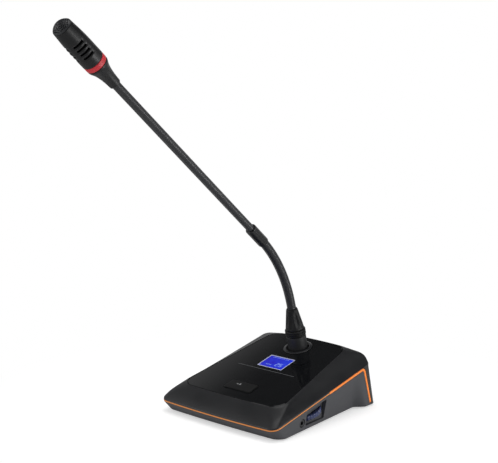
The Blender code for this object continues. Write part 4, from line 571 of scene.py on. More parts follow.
def display_marks():
    """Bars lit on the display, as (x, up, half width, half height) from its middle: a 2 and a 5 of
    five bars each, four small marks at the left, and a row of eight along the top."""
    stroke, wide, tall, level = 0.00045, 0.0014, 0.0013, -0.0033
    digits = ((0.0036, 1), (0.0079, -1))
    bars = [(middle, level + step * tall * 2, wide, stroke)
            for middle, _ in digits for step in (-1, 0, 1)]
    bars += [(middle + wide * rising * side, level + tall * side, stroke, tall)
             for middle, rising in digits for side in (1, -1)]
    # Rows of marks: first place, pitch, level, half width, half height, and how many
    for first, pitch, up, half_x, half_y, count in ((-0.0078, 0.0017, -0.0056, 0.00045, 0.0008, 4),
                                                    (-0.0100, 0.0026, 0.0086, 0.0008, 0.0004, 8)):
        bars += [(first + pitch * k, up, half_x, half_y) for k in range(count)]
    return bars


def display_finish():
    """Glass over a backlit liquid crystal: an even deep blue light that turns a little paler to the
    right, with dim pale marks in front of it."""
    material, tree, principled, place = new_finish("backlit_display_glass", Roughness=0.2,
                                                   Emission_Strength=DISPLAY_GLOW)
    across, up = panel_position(tree, place)
    middle, marks = depth(0) + DISPLAY_UP, 0.0
    for x, y, half_x, half_y in display_marks():
        bar = in_box(tree, across, up, (x, middle + y), (half_x, half_y))
        marks = add(tree, "ShaderNodeMath", {0: bar, 1: marks}, operation="MAXIMUM")
    cloud = add(tree, "ShaderNodeTexNoise", {"Vector": place, "Scale": 1 / GLOW_PATCH,
                                             "Detail": 2.0})
    rise = add(tree, "ShaderNodeMath", {0: across, 1: GLOW_RISE}, operation="MULTIPLY")
    light = add(tree, "ShaderNodeMath", {0: cloud, 1: rise}, operation="ADD")
    glow = add(tree, "ShaderNodeMapRange", {"Value": light, "From Min": GLOW_RANGE[0],
                                            "From Max": GLOW_RANGE[1]})
    blue = add(tree, "ShaderNodeMix", {"Factor": glow, "A": linear_colour("0A06B4"),
                                       "B": linear_colour("0C30D0")}, data_type="RGBA")
    cover = add(tree, "ShaderNodeMath", {0: marks, 1: MARKS_COVER}, operation="MULTIPLY")
    shown = add(tree, "ShaderNodeMix", {"Factor": cover, "A": blue, "B": linear_colour("A8C8FF")},
                data_type="RGBA")
    tree.links.new(shown.outputs["Result"], principled.inputs["Base Color"])
    tree.links.new(shown.outputs["Result"], principled.inputs["Emission Color"])
    return material


# Satin moulded ABS: even black with a soft broad sheen, from its mould's fine spark-eroded grain
SATIN_BLACK = surface("ABS_moulded_satin_black", "151619", "1B1C1F", 0.45, 0.0006, 0.00001,
                      IOR=1.53)
# The same plastic in dark grey from a coarser mould, which scatters more light and looks dry
GRAINED_GREY = surface("ABS_moulded_grained_grey", "37383C", "404145", 0.58, 0.0008, 0.00003,
                       IOR=1.53)
# Polished acrylic over black: deep, wet looking, mirror-like at a low angle
POLISHED_BLACK = surface("acrylic_polished_black", "0E0F11", "121315", 0.06, 0.004, 0.000002,
                         IOR=1.49)
# Diffusing polycarbonate, dyed orange right through, with a weak emission as a painted glow that
# brightens the whole bar
ORANGE_BAR = surface("polycarbonate_dyed_orange", "E4761C", "F28628", 0.35, 0.0012, 0.00001,
                     IOR=1.58, Emission_Color=linear_colour("F58228"), Emission_Strength=0.17)
# The same orange dye in the thin run, its colour painted a paler, duller tan than the bars: painted
# shade of its seam and painted highlight of its edge
ORANGE_STRIP = surface("polycarbonate_orange_painted_seam_light", "E0863A", "EC9648", 0.4, 0.0012, 0.00001,
                       IOR=1.58)
# Screen-printed ink: thin and flat, so that it only dulls the gloss under it to a dim grey
PRINTED_GREY = surface("screen_print_ink_pale_grey", "4C4D50", "5E5F62", 0.45, 0.0005, 0.000004)
# The same ink in white, clear to read on the matt key
PRINTED_WHITE = surface("screen_print_ink_white", "A8A9AC", "BCBDC0", 0.45, 0.0005, 0.000004)
# Matt moulded ABS: the darkest plastic on the unit, with hardly any sheen
KEY_BLACK = surface("ABS_moulded_matt_key_black", "050608", "090A0C", 0.62, 0.001, 0.00001,
                    IOR=1.42)
# Glass-filled moulded nylon: dark grey, tight enough in its sheen to draw the ring's ridge
RING_BLACK = surface("nylon_glass_filled_dark_grey", "1E1F22", "26272A", 0.3, 0.0006, 0.00002,
                     IOR=1.53)
# Die-cast zinc under satin lacquer: smooth, with one soft upright highlight
PLUG_BLACK = surface("zinc_die_cast_black_satin_lacquer", "1B1C1E", "212224", 0.5, 0.001, 0.00001,
                     IOR=1.5)
# Moulded elastomer: deep dull black, with only a faint glow along its ridges
BOOT_BLACK = surface("elastomer_moulded_black", "0A0B0C", "0F1012", 0.5, 0.0007, 0.00001, IOR=1.42)
# Steel hose in a thin sleeve: its ribs break the highlight into short glints
HOSE_BLACK = surface("steel_hose_black_sleeved", "1C1D20", "232427", 0.36, 0.0009, 0.000012,
                     IOR=1.48)
# Turned steel under lacquer: smoother and darker than the hoses at either end of it
SLEEVE_BLACK = surface("steel_turned_black_lacquer", "0F1012", "141517", 0.34, 0.002, 0.000006,
                       IOR=1.5)
# Lacquered steel hose, painted a little paler than the sleeved one: a painted sheen that stands in
# for the light along its ribs
STEM_BLACK = surface("steel_hose_black_lacquer", "232427", "2B2C2F", 0.36, 0.0009, 0.00002,
                     IOR=1.5)
# Turned aluminium under satin lacquer: one broad soft highlight on a nearly black tube
HEAD_BLACK = surface("aluminium_black_satin_lacquer", "0C0D0F", "111214", 0.42, 0.0016, 0.000001,
                     IOR=1.48)
# Perforated lacquered steel: paler than the head, as the edges of its holes catch light
GRILLE_BLACK = surface("steel_perforated_black", "242528", "313235", 0.45, 0.0006, 0.00002,
                       IOR=1.5)
# Frosted moulded polycarbonate: an even red that seems to glow slightly from within
RED_LIGHT = surface("polycarbonate_frosted_red", "AE141F", "BE1C28", 0.45, 0.0008, 0.00002,
                    IOR=1.58, Emission_Color=linear_colour("E23444"), Emission_Strength=0.08)
# Moulded ABS, dyed blue-grey: its tighter sheen picks out each tooth
WHEEL_GREY = surface("ABS_moulded_blue_grey", "29335A", "353F68", 0.26, 0.0006, 0.00001, IOR=1.53)
# Moulded nylon: plain black, with a narrow sheen round a lip
JACK_BLACK = surface("nylon_moulded_black", "1A1B1D", "202123", 0.4, 0.0006, 0.00002, IOR=1.53)
# Moulded PBT: dark grey and dry looking from its filler
SOCKET_GREY = surface("PBT_moulded_dark_grey", "2E2F31", "363739", 0.45, 0.0006, 0.00002, IOR=1.55)
# Open-cell foam: dull, with no sheen, so that the slots over it read black
FOAM_BLACK = surface("polyurethane_foam_black", "060606", "0C0C0C", 0.95, 0.0007, 0.0001, IOR=1.3)
# Moulded rubber: flat black that never shines
FOOT_RUBBER = surface("rubber_moulded_black", "121212", "1A1A1A", 0.85, 0.0005, 0.00004, IOR=1.52)
# Steel under black oxide: dark metal that glints at its edges
SCREW_STEEL = surface("steel_black_oxide", "3A3B3D", "46474A", 0.38, 0.0005, 0.00002, Metallic=1.0)
# Zinc-plated steel: pale cold metal with faint clouds
PLATE_STEEL = surface("steel_zinc_plated", "9A9C9E", "AEB0B2", 0.4, 0.001, 0.00002, Metallic=1.0)
# Turned brass: warm bright metal
CONTACT_BRASS = surface("brass_turned", "B99A4C", "C9AA5C", 0.3, 0.001, 0.00001, Metallic=1.0)
# Anodised aluminium: black metal, so that nothing bright shows through the grille's holes
CAPSULE_METAL = surface("aluminium_anodised_black", "17181A", "1E1F21", 0.4, 0.0008, 0.00001,
                        Metallic=1.0)
# Glass epoxy under green lacquer: the board's flat green with a wet sheen
BOARD_GREEN = surface("glass_epoxy_lacquered_green", "145028", "1E6436", 0.35, 0.0012, 0.00002,
                      IOR=1.5)
# Moulded nylon, dyed red: plain, with a soft sheen
CAP_RED = surface("nylon_moulded_red", "7A2018", "8C2A20", 0.4, 0.0006, 0.00002, IOR=1.53)
DISPLAY_BLUE = display_finish()
PALE_FRAME = frame_finish()

CARRIED_OVER = {
    "display_frame": PALE_FRAME, "display_window": DISPLAY_BLUE, "display_module": SOCKET_GREY,
    "talk_switch": JACK_BLACK, "switch_cap": CAP_RED, "main_board": BOARD_GREEN,
    "mic_socket": JACK_BLACK, "socket_core": JACK_BLACK, "plug_insert": CONTACT_BRASS,
    "mic_capsule": CAPSULE_METAL, "capsule_muff": FOOT_RUBBER, "volume_control": PLATE_STEEL,
    "volume_board": BOARD_GREEN, "link_board": BOARD_GREEN, "link_socket_left": SOCKET_GREY,
    "link_socket_right": SOCKET_GREY, "ballast_plate": PLATE_STEEL,
}


def dress_solids():
    """Give each solid that stays its finish."""
    for name, finish in CARRIED_OVER.items():
        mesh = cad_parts[name].data
        mesh.materials.clear()
        mesh.materials.append(finish)


# Base shells and trim

def body_outside():
    """Outer form of the base: straight runs from ring to ring up its section, with soft corners."""
    foot = ground_ring(FOOT_DRAWN_IN, GROUND_FRONT + FOOT_DRAWN_IN, FOOT_PROUD)
    rings = [foot, ground_ring(0, GROUND_FRONT, FOOT_PROUD), belt_ring(0, -LIP_DOWN),
             belt_ring(0, LIP_UP), shoulder_ring(), panel_ring(RIM_OUT, -RIM_DROP),
             panel_ring(RIM_FLAT, 0)]
    return stacked("body_outside", filled(softened(rings, BODY_SOFT), ROW_SPACING))


def body_inside():
    """Hollow of the base, a wall in from the outer form."""
    floor = ground_ring(BASE_WALL, GROUND_FRONT + BASE_WALL - LIP_DOWN, FOOT_PROUD + FLOOR_WALL)
    return stacked("body_inside", [floor, belt_ring(BASE_WALL, 0),
                                   panel_ring(ROOF_SPREAD, -ROOF_UNDER)])


def on_belt(distance, off):
    """Point on the belt line in (y, z), moved off it squarely."""
    return (depth(distance) - math.sin(BELT_SLOPE) * off,
            belt_height(distance) + math.cos(BELT_SLOPE) * off)


def on_rear(height, off):
    """Point on the seam's rear run at a height, moved off it squarely."""
    back = (belt_height(APEX) - height) * math.tan(REAR_LEAN)
    return (depth(APEX) + back + math.cos(REAR_LEAN) * off, height + math.sin(REAR_LEAN) * off)


def apex_arc(off, count=14):
    """Rounded corner of the seam: the arc's points, each moved out along its own spoke."""
    arc = corner_arc(on_belt(0, 0), on_belt(APEX, 0), on_rear(0, 0), APEX_RADIUS, count)
    start = math.pi / 2 + BELT_SLOPE
    angle = start - np.linspace(0, math.pi / 2 - REAR_LEAN + BELT_SLOPE, count)
    return arc + np.stack((np.cos(angle), np.sin(angle)), -1) * off


def seam_tool(side):
    """Everything under the seam, with its upper edge on one side of the trim."""
    thin, thick = side * (TRIM_THICK / 2 + GAP), side * (ACCENT_THICK / 2 + GAP)
    foot, ahead = ACCENT_END_HEIGHT - GAP, on_belt(-OVERRUN, thin)
    outline = [(ahead[0], -OVERRUN), ahead, on_belt(ACCENT_START, thin),
               on_belt(ACCENT_START, thick), *apex_arc(thick), on_rear(foot, thick),
               on_rear(foot, side * GAP / 2), on_rear(-OVERRUN, side * GAP / 2)]
    reach = BASE_HALF_WIDTH + OVERRUN
    return prism("seam_tool", outline, -reach, reach, "X")


def pocket_tool(wall, back):
    """Side pocket: a box that follows the belt, with rounded corners, grown by wall."""
    front, rear = POCKET_FRONT - wall, POCKET_REAR + wall
    floor, lip = POCKET_FLOOR - wall, POCKET_TOP_LIP - wall
    corners = ((depth(front), floor), (depth(rear), floor),
               (depth(rear), belt_height(rear) - lip), (depth(front), belt_height(front) - lip))
    outline = np.vstack([corner_arc(corners[k - 1], corners[k], corners[(k + 1) % 4],
                                    POCKET_ROUND + wall, 8) for k in range(4)])
    return prism("pocket_tool", outline, back, BASE_HALF_WIDTH + OVERRUN, "X")


def joined(name, meshes):
    """Several meshes as one, for tools that don't touch."""
    bm = bmesh.new()
    for mesh in meshes:
        bm.from_mesh(mesh)
        bpy.data.meshes.remove(mesh)
    made = bpy.data.meshes.new(name)
    bm.to_mesh(made)
    bm.free()
    return made


def panel_matrix():
    """Turn and shift from a flat drawing of the panel to its place."""
    return Matrix.Translation((0, depth(0), PANEL_HEIGHT)) @ Matrix.Rotation(PANEL_SLOPE, 4, "X")


def in_panel(mesh):
    """The mesh carried from a flat drawing of the panel to its place."""
    mesh.transform(panel_matrix())
    return mesh


def panel_cuts(low, extra):
    """Openings of the panel, or with extra those under it in the roof."""
    display = rounded_rectangle(DISPLAY_WIDTH / 2 + GAP + extra, DISPLAY_LENGTH / 2 + GAP + extra,
                                WINDOW_ROUND)
    button = rounded_rectangle(BUTTON_WIDTH / 2 + SLIDE_GAP + extra,
                               BUTTON_LENGTH / 2 + SLIDE_GAP + extra, BUTTON_ROUND + SLIDE_GAP)
    return in_panel(joined("panel_cuts", [
        prism("cut", display + (0, DISPLAY_UP), low, OVERRUN),
        prism("cut", button + (0, BUTTON_UP), low, OVERRUN),
        rod("cut", RING_SPIGOT + GAP - extra / 2, low, OVERRUN, (0, SOCKET_UP), 96)]))


def link_windows():
    """Openings for the link sockets: drawn flat as (x, z), then stood up in the rear wall by
    exchanging y and z, which turns them inside out, so their faces are flipped back."""
    outline = rounded_rectangle(LINK_WIDE / 2 + GAP, LINK_TALL / 2 + GAP, WINDOW_ROUND)
    windows = [prism("window", outline + (side * LINK_X, LINK_LOW + LINK_TALL / 2 + GAP),
                     depth(LINK_FACE - LINK_DEEP), depth(GROUND_REAR) + OVERRUN)
               for side in (-1, 1)]
    for window in windows:
        window.transform(Matrix(((1, 0, 0, 0), (0, 0, 1, 0), (0, 1, 0, 0), (0, 0, 0, 1))))
        window.flip_normals()
    return joined("windows", windows)


def floor_holes():
    """Seats of the feet, and stepped holes under the screws."""
    seat_top, head_top = FOOT_PROUD + PAD_SUNK + GAP, FOOT_PROUD + SCREW_SUNK
    holes = [rod("seat", PAD_RADIUS + GAP, -OVERRUN, seat_top, (side * x, depth(y)), 64)
             for x, y in PAD_PLACES for side in (-1, 1)]
    profile = ((0, -OVERRUN), (SCREW_HEAD_RADIUS + GAP, -OVERRUN),
               (SCREW_HEAD_RADIUS + GAP, head_top), (SCREW_RADIUS + GAP, head_top),
               (SCREW_RADIUS + GAP, OVERRUN), (0, OVERRUN))
    holes += [placed(turned("hole", profile, 40), (side * x, depth(y), 0))
              for x, y in POST_PLACES for side in (-1, 1)]
    return joined("floor_holes", holes)


def make_shells():
    """Upper and lower shell: the outer form parted at the seam, less its hollow and openings."""
    seat = in_panel(prism("seat", panel_outline(GAP), -PANEL_THICK - GAP, OVERRUN))
    top = worked(body_outside(), ("DIFFERENCE", seam_tool(1)), ("DIFFERENCE", body_inside()),
                 ("DIFFERENCE", seat),
                 ("DIFFERENCE", panel_cuts(-ROOF_UNDER - OVERRUN / 2, ROOF_CLEAR)),
                 ("DIFFERENCE", link_windows()))
    piece("upper_housing", top, "base", SATIN_BLACK, ["top_shell"], sharp=32)
    hollow = worked(body_inside(),
                    ("DIFFERENCE", pocket_tool(POCKET_WALL, POCKET_BACK - POCKET_WALL)))
    slot = rod("slot", WHEEL_RADIUS + SLIDE_GAP, -WHEEL_THICK / 2 - SLIDE_GAP,
               WHEEL_THICK / 2 + SLIDE_GAP, sides=96)
    placed(slot, (WHEEL_X, depth(WHEEL_DEPTH), WHEEL_HEIGHT), PANEL_SLOPE)
    well = placed(rod("well", JACK_WELL, -JACK_WELL_DEEP, OVERRUN),
                  (JACK_FACE, depth(JACK_DEPTH), JACK_HEIGHT), math.pi / 2, "Y")
    low = worked(body_outside(), ("INTERSECT", seam_tool(-1)), ("DIFFERENCE", hollow),
                 ("DIFFERENCE", slot), ("DIFFERENCE", pocket_tool(0, POCKET_BACK)),
                 ("DIFFERENCE", well), ("DIFFERENCE", floor_holes()))
    piece("lower_housing", low, "base", GRAINED_GREY, ["lower_shell"], sharp=32)


def make_trim():
    """Seam strips: a flat run along the seam, kept where it lies in the base's wall."""
    reach, half, end = BASE_HALF_WIDTH + OVERRUN, TRIM_THICK / 2, ACCENT_START - GAP / 2
    thin = [on_belt(-OVERRUN, -half), on_belt(end, -half), on_belt(end, half),
            on_belt(-OVERRUN, half)]
    strip = worked(body_outside(), ("INTERSECT", prism("thin", thin, -reach, reach, "X")),
                   ("DIFFERENCE", body_inside()))
    piece("front_strip", strip, "base", ORANGE_STRIP, ["trim_strip"], sharp=32)
    half, start = ACCENT_THICK / 2 - BAR_SUNK, ACCENT_START + GAP / 2
    thick = [on_belt(start, half), *apex_arc(half), on_rear(ACCENT_END_HEIGHT, half),
             on_rear(ACCENT_END_HEIGHT, -half), *apex_arc(-half)[::-1], on_belt(start, -half)]
    inner = BASE_HALF_WIDTH - OVERRUN
    for name, node, low, high in (("left_bar", "accent_bar_left", -reach, -inner),
                                  ("right_bar", "accent_bar_right", inner, reach)):
        bar = worked(body_outside(), ("INTERSECT", prism("thick", thick, low, high, "X")),
                     ("DIFFERENCE", body_inside()))
        piece(name, bar, "base", ORANGE_BAR, [node], sharp=32)


# Panel pieces

def make_panel():
    """Glossy plate with a rounded upper edge, and the line printed across it."""
    plate = slab("plate", panel_outline(0), ((0, -PANEL_THICK), *PANEL_EDGE))
    plate = worked(in_panel(plate), ("DIFFERENCE", panel_cuts(-PANEL_THICK - OVERRUN, 0)))
    piece("front_panel", plate, "base", POLISHED_BLACK, ["panel_plate"], sharp=12)
    outline = rounded_rectangle(LINE_HALF, LINE_WIDE / 2, LINE_ROUND) + (0, LINE_UP)
    line = slab("line", outline, ((0, -LINE_INK), (0, LINE_INK)))
    piece("printed_line", in_panel(line), "base", PRINTED_GREY)


def make_button():
    """Talk key, whose upper edge follows a quarter circle, and its printed microphone sign."""
    outline = rounded_rectangle(BUTTON_WIDTH / 2, BUTTON_LENGTH / 2, BUTTON_ROUND) + (0, BUTTON_UP)
    edge, start = BUTTON_EDGE, BUTTON_PROUD - BUTTON_EDGE
    levels = [(0, -BUTTON_UNDER), (0, start)] + [
        (edge - edge * math.cos(turn), start + edge * math.sin(turn))
        for turn in np.linspace(BUTTON_EDGE_START, math.pi / 2, 6)]
    piece("talk_key_cap", in_panel(slab("key", outline, levels)), "talk_key", KEY_BLACK,
          ["talk_button"], sharp=30)
    ink = ((0, BUTTON_PROUD - LINE_INK), (0, BUTTON_PROUD + LINE_INK))
    parts = [slab("part", rounded_rectangle(half_x, half_y, rounding) + (x, BUTTON_UP + y), ink)
             for half_x, half_y, rounding, x, y in TALK_SIGN]
    piece("talk_sign", in_panel(joined("sign", parts)), "talk_key", PRINTED_WHITE)


def make_socket_ring():
    """Ring round the socket: a section with a soft ridge, turned about the socket's middle."""
    profile = softened(((RING_INNER, -PANEL_THICK), (RING_SPIGOT, -PANEL_THICK), (RING_SPIGOT, GAP),
                        (RING_OUTER, GAP), (RING_OUTER, RING_RISE / 2), (RING_RIDGE, RING_RISE),
                        ((RING_RIDGE + RING_INNER) / 2, RING_RISE), (RING_INNER, RING_RISE / 3),
                        (RING_INNER, -PANEL_THICK)), RING_SOFT)
    ring = placed(turned("ring", profile[:-1], 128, ring=True), (0, SOCKET_UP, 0))
    piece("socket_collar", in_panel(ring), "base", RING_BLACK, ["socket_ring"])


def at_plug(mesh):
    """The mesh carried from an upright drawing of the plug to its place in the socket."""
    return in_panel(placed(mesh, (0, SOCKET_UP, 0)))


def make_plug():
    """Plug shell and its collar, both turned; the collar's section repeats one rib."""
    narrow = PLUG_RADIUS - PLUG_STEP
    shell = softened(((0, PLUG_FOOT), (narrow, PLUG_FOOT), (narrow, -PLUG_STEP_BELOW),
                      (PLUG_RADIUS, -PLUG_STEP_BELOW), (PLUG_RADIUS, PLUG_TALL), (0, PLUG_TALL)),
                     PLUG_SOFT)
    piece("plug_barrel", at_plug(turned("shell", shell, 128)), "plug", PLUG_BLACK,
          ["plug_shell"])
    low, step = PLUG_TALL + GAP, (COLLAR_TOP - PLUG_TALL - GAP) / COLLAR_RIBS
    ribs = [(COLLAR_RADIUS if out else COLLAR_RADIUS - COLLAR_GROOVE, low + step * k + step * share)
            for k in range(COLLAR_RIBS) for share, out, _ in COLLAR_RIB]
    profile = [(0, low), *ribs, (BOOT_FOOT_RADIUS, COLLAR_TOP), (0, COLLAR_TOP)]
    reaches = [reach for _, _, reach in COLLAR_RIB] * COLLAR_RIBS + [COLLAR_END_SOFT]
    piece("plug_ring", at_plug(turned("collar", softened(profile, reaches), 128)), "plug",
          BOOT_BLACK, ["plug_collar"])


def make_boot():
    """Boot: the radius falls evenly from foot to tip, less flutes that follow a raised cosine round
    it and fade in and out along it by a sine. Both ends round in by the square of the way into
    them."""
    low, start, end = COLLAR_TOP + GAP, *BOOT_FLUTE_SHARES
    share = np.linspace(0, 1, 60)[:, None]
    angle = np.linspace(0, 2 * math.pi, 240, endpoint=False)[None]
    radius = BOOT_FOOT_RADIUS + (BOOT_TIP_RADIUS - BOOT_FOOT_RADIUS) * share
    inside = np.clip((share - start) / (end - start), 0, 1)
    radius = radius - (BOOT_FLUTE_DEEP * np.sin(math.pi * inside)
                       * (1 - np.cos(angle * BOOT_FLUTES)) / 2)
    (tip, tip_length, tip_loss), (foot, foot_loss) = BOOT_TIP_SOFT, BOOT_FOOT_SOFT
    soft = (1 - tip_loss * np.clip((share - tip) / tip_length, 0, 1) ** 2
            - foot_loss * np.clip((foot - share) / foot, 0, 1) ** 2)
    height = low + (BOOT_TOP - low) * share + 0 * angle
    rows = np.stack((radius * soft * np.cos(angle), radius * soft * np.sin(angle), height), -1)
    piece("plug_boot_fluted", at_plug(stacked("boot", rows)), "plug", BOOT_BLACK,
          ["plug_boot"], sharp=60)


# Neck path: straight out of the boot, an even bend, then straight along the stem

NECK_LENGTH = NECK_BEND * (math.pi / 2 - PANEL_SLOPE - STEM_ELEVATION)
NECK_START = panel_matrix() @ Vector((0, SOCKET_UP, BOOT_TOP))
HEAD_FOOT = SLEEVE_LENGTH - SLEEVE_GRIP + STEM_RUN


def neck_path(run):
    """(y, z, tilt) of the neck's middle line at distances along it: a circle's arc up to the bend's
    end, and a straight line past either end."""
    run = np.asarray(run, float)
    inside = np.clip(run, 0, NECK_LENGTH)
    tilt = PANEL_SLOPE + inside / NECK_BEND
    past = run - inside
    y = (NECK_START.y + NECK_BEND * (np.cos(tilt) - math.cos(PANEL_SLOPE)) - np.sin(tilt) * past)
    z = (NECK_START.z + NECK_BEND * (np.sin(tilt) - math.sin(PANEL_SLOPE)) + np.cos(tilt) * past)
    return y, z, tilt


def hose(name, start, end, radius, pitch, ribs, sides=40):
    """Ribbed tube along the neck's path: the radius dips by a squared cosine once a pitch, and the
    ring at each distance stands square to the path."""
    count = int((end - start) / pitch) * RIB_ROWS + 1
    run = np.linspace(start, end, count)
    dip = radius - ribs * np.cos(math.pi * run / pitch) ** 2
    y, z, tilt = (v[:, None] for v in neck_path(run))
    angle = np.linspace(0, 2 * math.pi, sides, endpoint=False)[None]
    across, aside = dip[:, None] * np.cos(angle), dip[:, None] * np.sin(angle)
    rows = np.stack((aside, y + np.cos(tilt) * across, z + np.sin(tilt) * across), -1)
    return stacked(name, rows)


def path_point(run):
    """Point of the neck's middle line at one distance."""
    y, z, _ = neck_path(run)
    return (0, float(y), float(z))


def make_neck():
    """Hose pieces that meet in the middle of each link and run over the joint between two, curved
    with the neck.
    """
    step = NECK_LENGTH / NECK_LINKS
    for k in range(1, NECK_LINKS):
        last = k == NECK_LINKS - 1
        start = -NECK_IN_BOOT if k == 1 else step * (k - 0.5)
        end = step * NECK_LINKS + NECK_IN_SLEEVE if last else step * (k + 0.5)
        mesh = hose("hose", start, end, NECK_RADIUS, NECK_RIB_PITCH, NECK_RIB_DEEP, 48)
        nodes = ["neck_link_%d" % k] + (["neck_link_6"] if last else [])
        item = piece("neck_hose_%d" % k, mesh, None, HOSE_BLACK, nodes, sharp=50)
        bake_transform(item)


def make_stem():
    """Turned sleeve at the foot of the stem, the stem's straight hose, and the two short hoses that
    run over the head's joints."""
    foot, top = (SLEEVE_RADIUS - draw for draw in SLEEVE_ENDS)
    sleeve = softened(((0, 0), (foot, 0), (SLEEVE_RADIUS, SLEEVE_CHAMFER),
                       (SLEEVE_RADIUS, SLEEVE_LENGTH - SLEEVE_CHAMFER), (top, SLEEVE_LENGTH),
                       (0, SLEEVE_LENGTH)), (SLEEVE_SOFT,) * 4)
    place, tilt = path_point(NECK_LENGTH - SLEEVE_GRIP), math.pi / 2 - STEM_ELEVATION
    piece("stem_sleeve", placed(turned("sleeve", sleeve, 96), place, tilt), "stem", SLEEVE_BLACK,
          ["joint_sleeve"])
    lower = NECK_LENGTH + HEAD_FOOT - HEAD_LINK_BELOW - HEAD_LINK
    upper = lower + HEAD_LINK
    first, middle = lower - HEAD_LINK / 2, (lower + upper) / 2
    last = NECK_LENGTH + HEAD_FOOT + STEM_IN_HEAD
    start = NECK_LENGTH + SLEEVE_LENGTH - SLEEVE_GRIP - STEM_IN_SLEEVE
    piece("stem_hose", hose("hose", start, first, STEM_RADIUS, RIB_PITCH, RIB_DEEP), "stem",
          STEM_BLACK, ["stem_tube"], sharp=50)
    for name, node, start, end, joint, bodies in (
            ("head_hose_low", "head_link_1", first, middle, lower, ("stem", "head_arm")),
            ("head_hose_high", "head_link_2", middle, last, upper, ("head_arm", "head"))):
        mesh = hose("hose", start, end, STEM_RADIUS, RIB_PITCH, RIB_DEEP)
        item = piece(name, mesh, None, STEM_BLACK, [node], sharp=50)
        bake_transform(item)


# Microphone head

def at_head(mesh):
    """The mesh carried from an upright drawing of the head to its place on the stem."""
    return placed(mesh, path_point(NECK_LENGTH + HEAD_FOOT), math.pi / 2 - STEM_ELEVATION)


def slot_tool():
    """Slot through the head's flank: an arc round the axis whose height closes to a point at both
    ends by the root of one less the square of the share past the straight part."""
    share = np.linspace(-1, 1, 41)[:, None]
    angle = share * SLOT_HALF_ANGLE
    past = np.clip((np.abs(share) - SLOT_STRAIGHT) / SLOT_ROUNDED, 0, SLOT_CLOSES)
    high = SLOT_WIDE / 2 * np.sqrt(1 - past ** 2)
    near, far = HEAD_BORE - CUT_PAST, HEAD_RADIUS + CUT_PAST
    radius = np.array([near, far, far, near])
    side = np.array([-1, -1, 1, 1])
    rows = np.stack((radius * np.cos(angle), radius * np.sin(angle), high * side), -1)
    return stacked("slot", rows)


def dished_tube(foot):
    """Head tube whose flanks are dished about each slot. The radius dips by a cosine along it,
    deepest in the middle of each slot, and the dip fades out round the axis by a smooth step."""
    run = softened(((HEAD_BORE, foot), (HEAD_RADIUS, foot), (HEAD_RADIUS, HEAD_TAPER_START),
                    (HEAD_TOP_RADIUS, HEAD_TOP), (HEAD_BORE, HEAD_TOP)), HEAD_SOFT)[1:-1]
    height = np.union1d(run[:, 1], np.linspace(foot, HEAD_TOP, 190))
    radius = np.interp(height, run[:, 1], run[:, 0])
    angle = np.linspace(0, 2 * math.pi, 160, endpoint=False)
    wave = (height - SLOT_FIRST - SLOT_WIDE / 2) / SLOT_PITCH
    inside = (wave > -0.5) & (wave < SLOT_ROWS - 0.5)
    dip = inside * (0.5 + 0.5 * np.cos(2 * math.pi * wave))
    round_it = np.zeros_like(angle)
    for turn in SLOT_TURNS:
        off = np.abs((angle - turn + math.pi) % (2 * math.pi) - math.pi) / SLOT_HALF_ANGLE
        round_it += ease((DISH_END - off) / DISH_FADE)
    radius = radius[:, None] - SLOT_DISH * dip[:, None] * round_it
    bore = np.full((1, len(angle)), HEAD_BORE)
    radius = np.vstack((bore, radius, bore))
    height = np.concatenate(([foot], height, [HEAD_TOP]))[:, None] + 0 * angle
    rows = np.stack((radius * np.cos(angle), radius * np.sin(angle), height), -1)
    return stacked("tube", rows, ring=True)


def make_head():
    """Collar cone, light ring, slotted tube and the foam in it."""
    collar = np.array(HEAD_PROFILE)
    profile = softened(np.vstack(((0, 0), collar, (0, collar[-1, 1]))), CONE_SOFT, 8)
    piece("head_cone", at_head(turned("cone", profile, 128)), "head", HEAD_BLACK,
          ["head_collar"], sharp=40)
    top = LIGHT_START + LIGHT_LENGTH
    profile = softened(((HEAD_BORE, LIGHT_START), (LIGHT_RADIUS, LIGHT_START), (LIGHT_RADIUS, top),
                        (HEAD_BORE, top)), (LIGHT_SOFT, LIGHT_SOFT))
    piece("light_band", at_head(turned("band", profile, 128, ring=True)), "head", RED_LIGHT,
          ["light_ring"])
    slots = []
    for row in range(SLOT_ROWS):
        for turn in SLOT_TURNS:
            slot = slot_tool()
            slot.transform(Matrix.Translation((0, 0, SLOT_FIRST + SLOT_PITCH * row + SLOT_WIDE / 2))
                           @ Matrix.Rotation(turn, 4, "Z"))
            slots.append(slot)
    tube = worked(dished_tube(top + GAP), ("DIFFERENCE", joined("slots", slots)))
    piece("head_tube", at_head(tube), "head", HEAD_BLACK, ["head_housing"], sharp=40)
    foam = rod("foam", HEAD_BORE - GAP, top + FOAM_PAST_LIGHT, HEAD_TAPER_START + FOAM_PAST_TAPER,
               sides=96)
    piece("foam_liner", at_head(foam), "head", FOAM_BLACK)


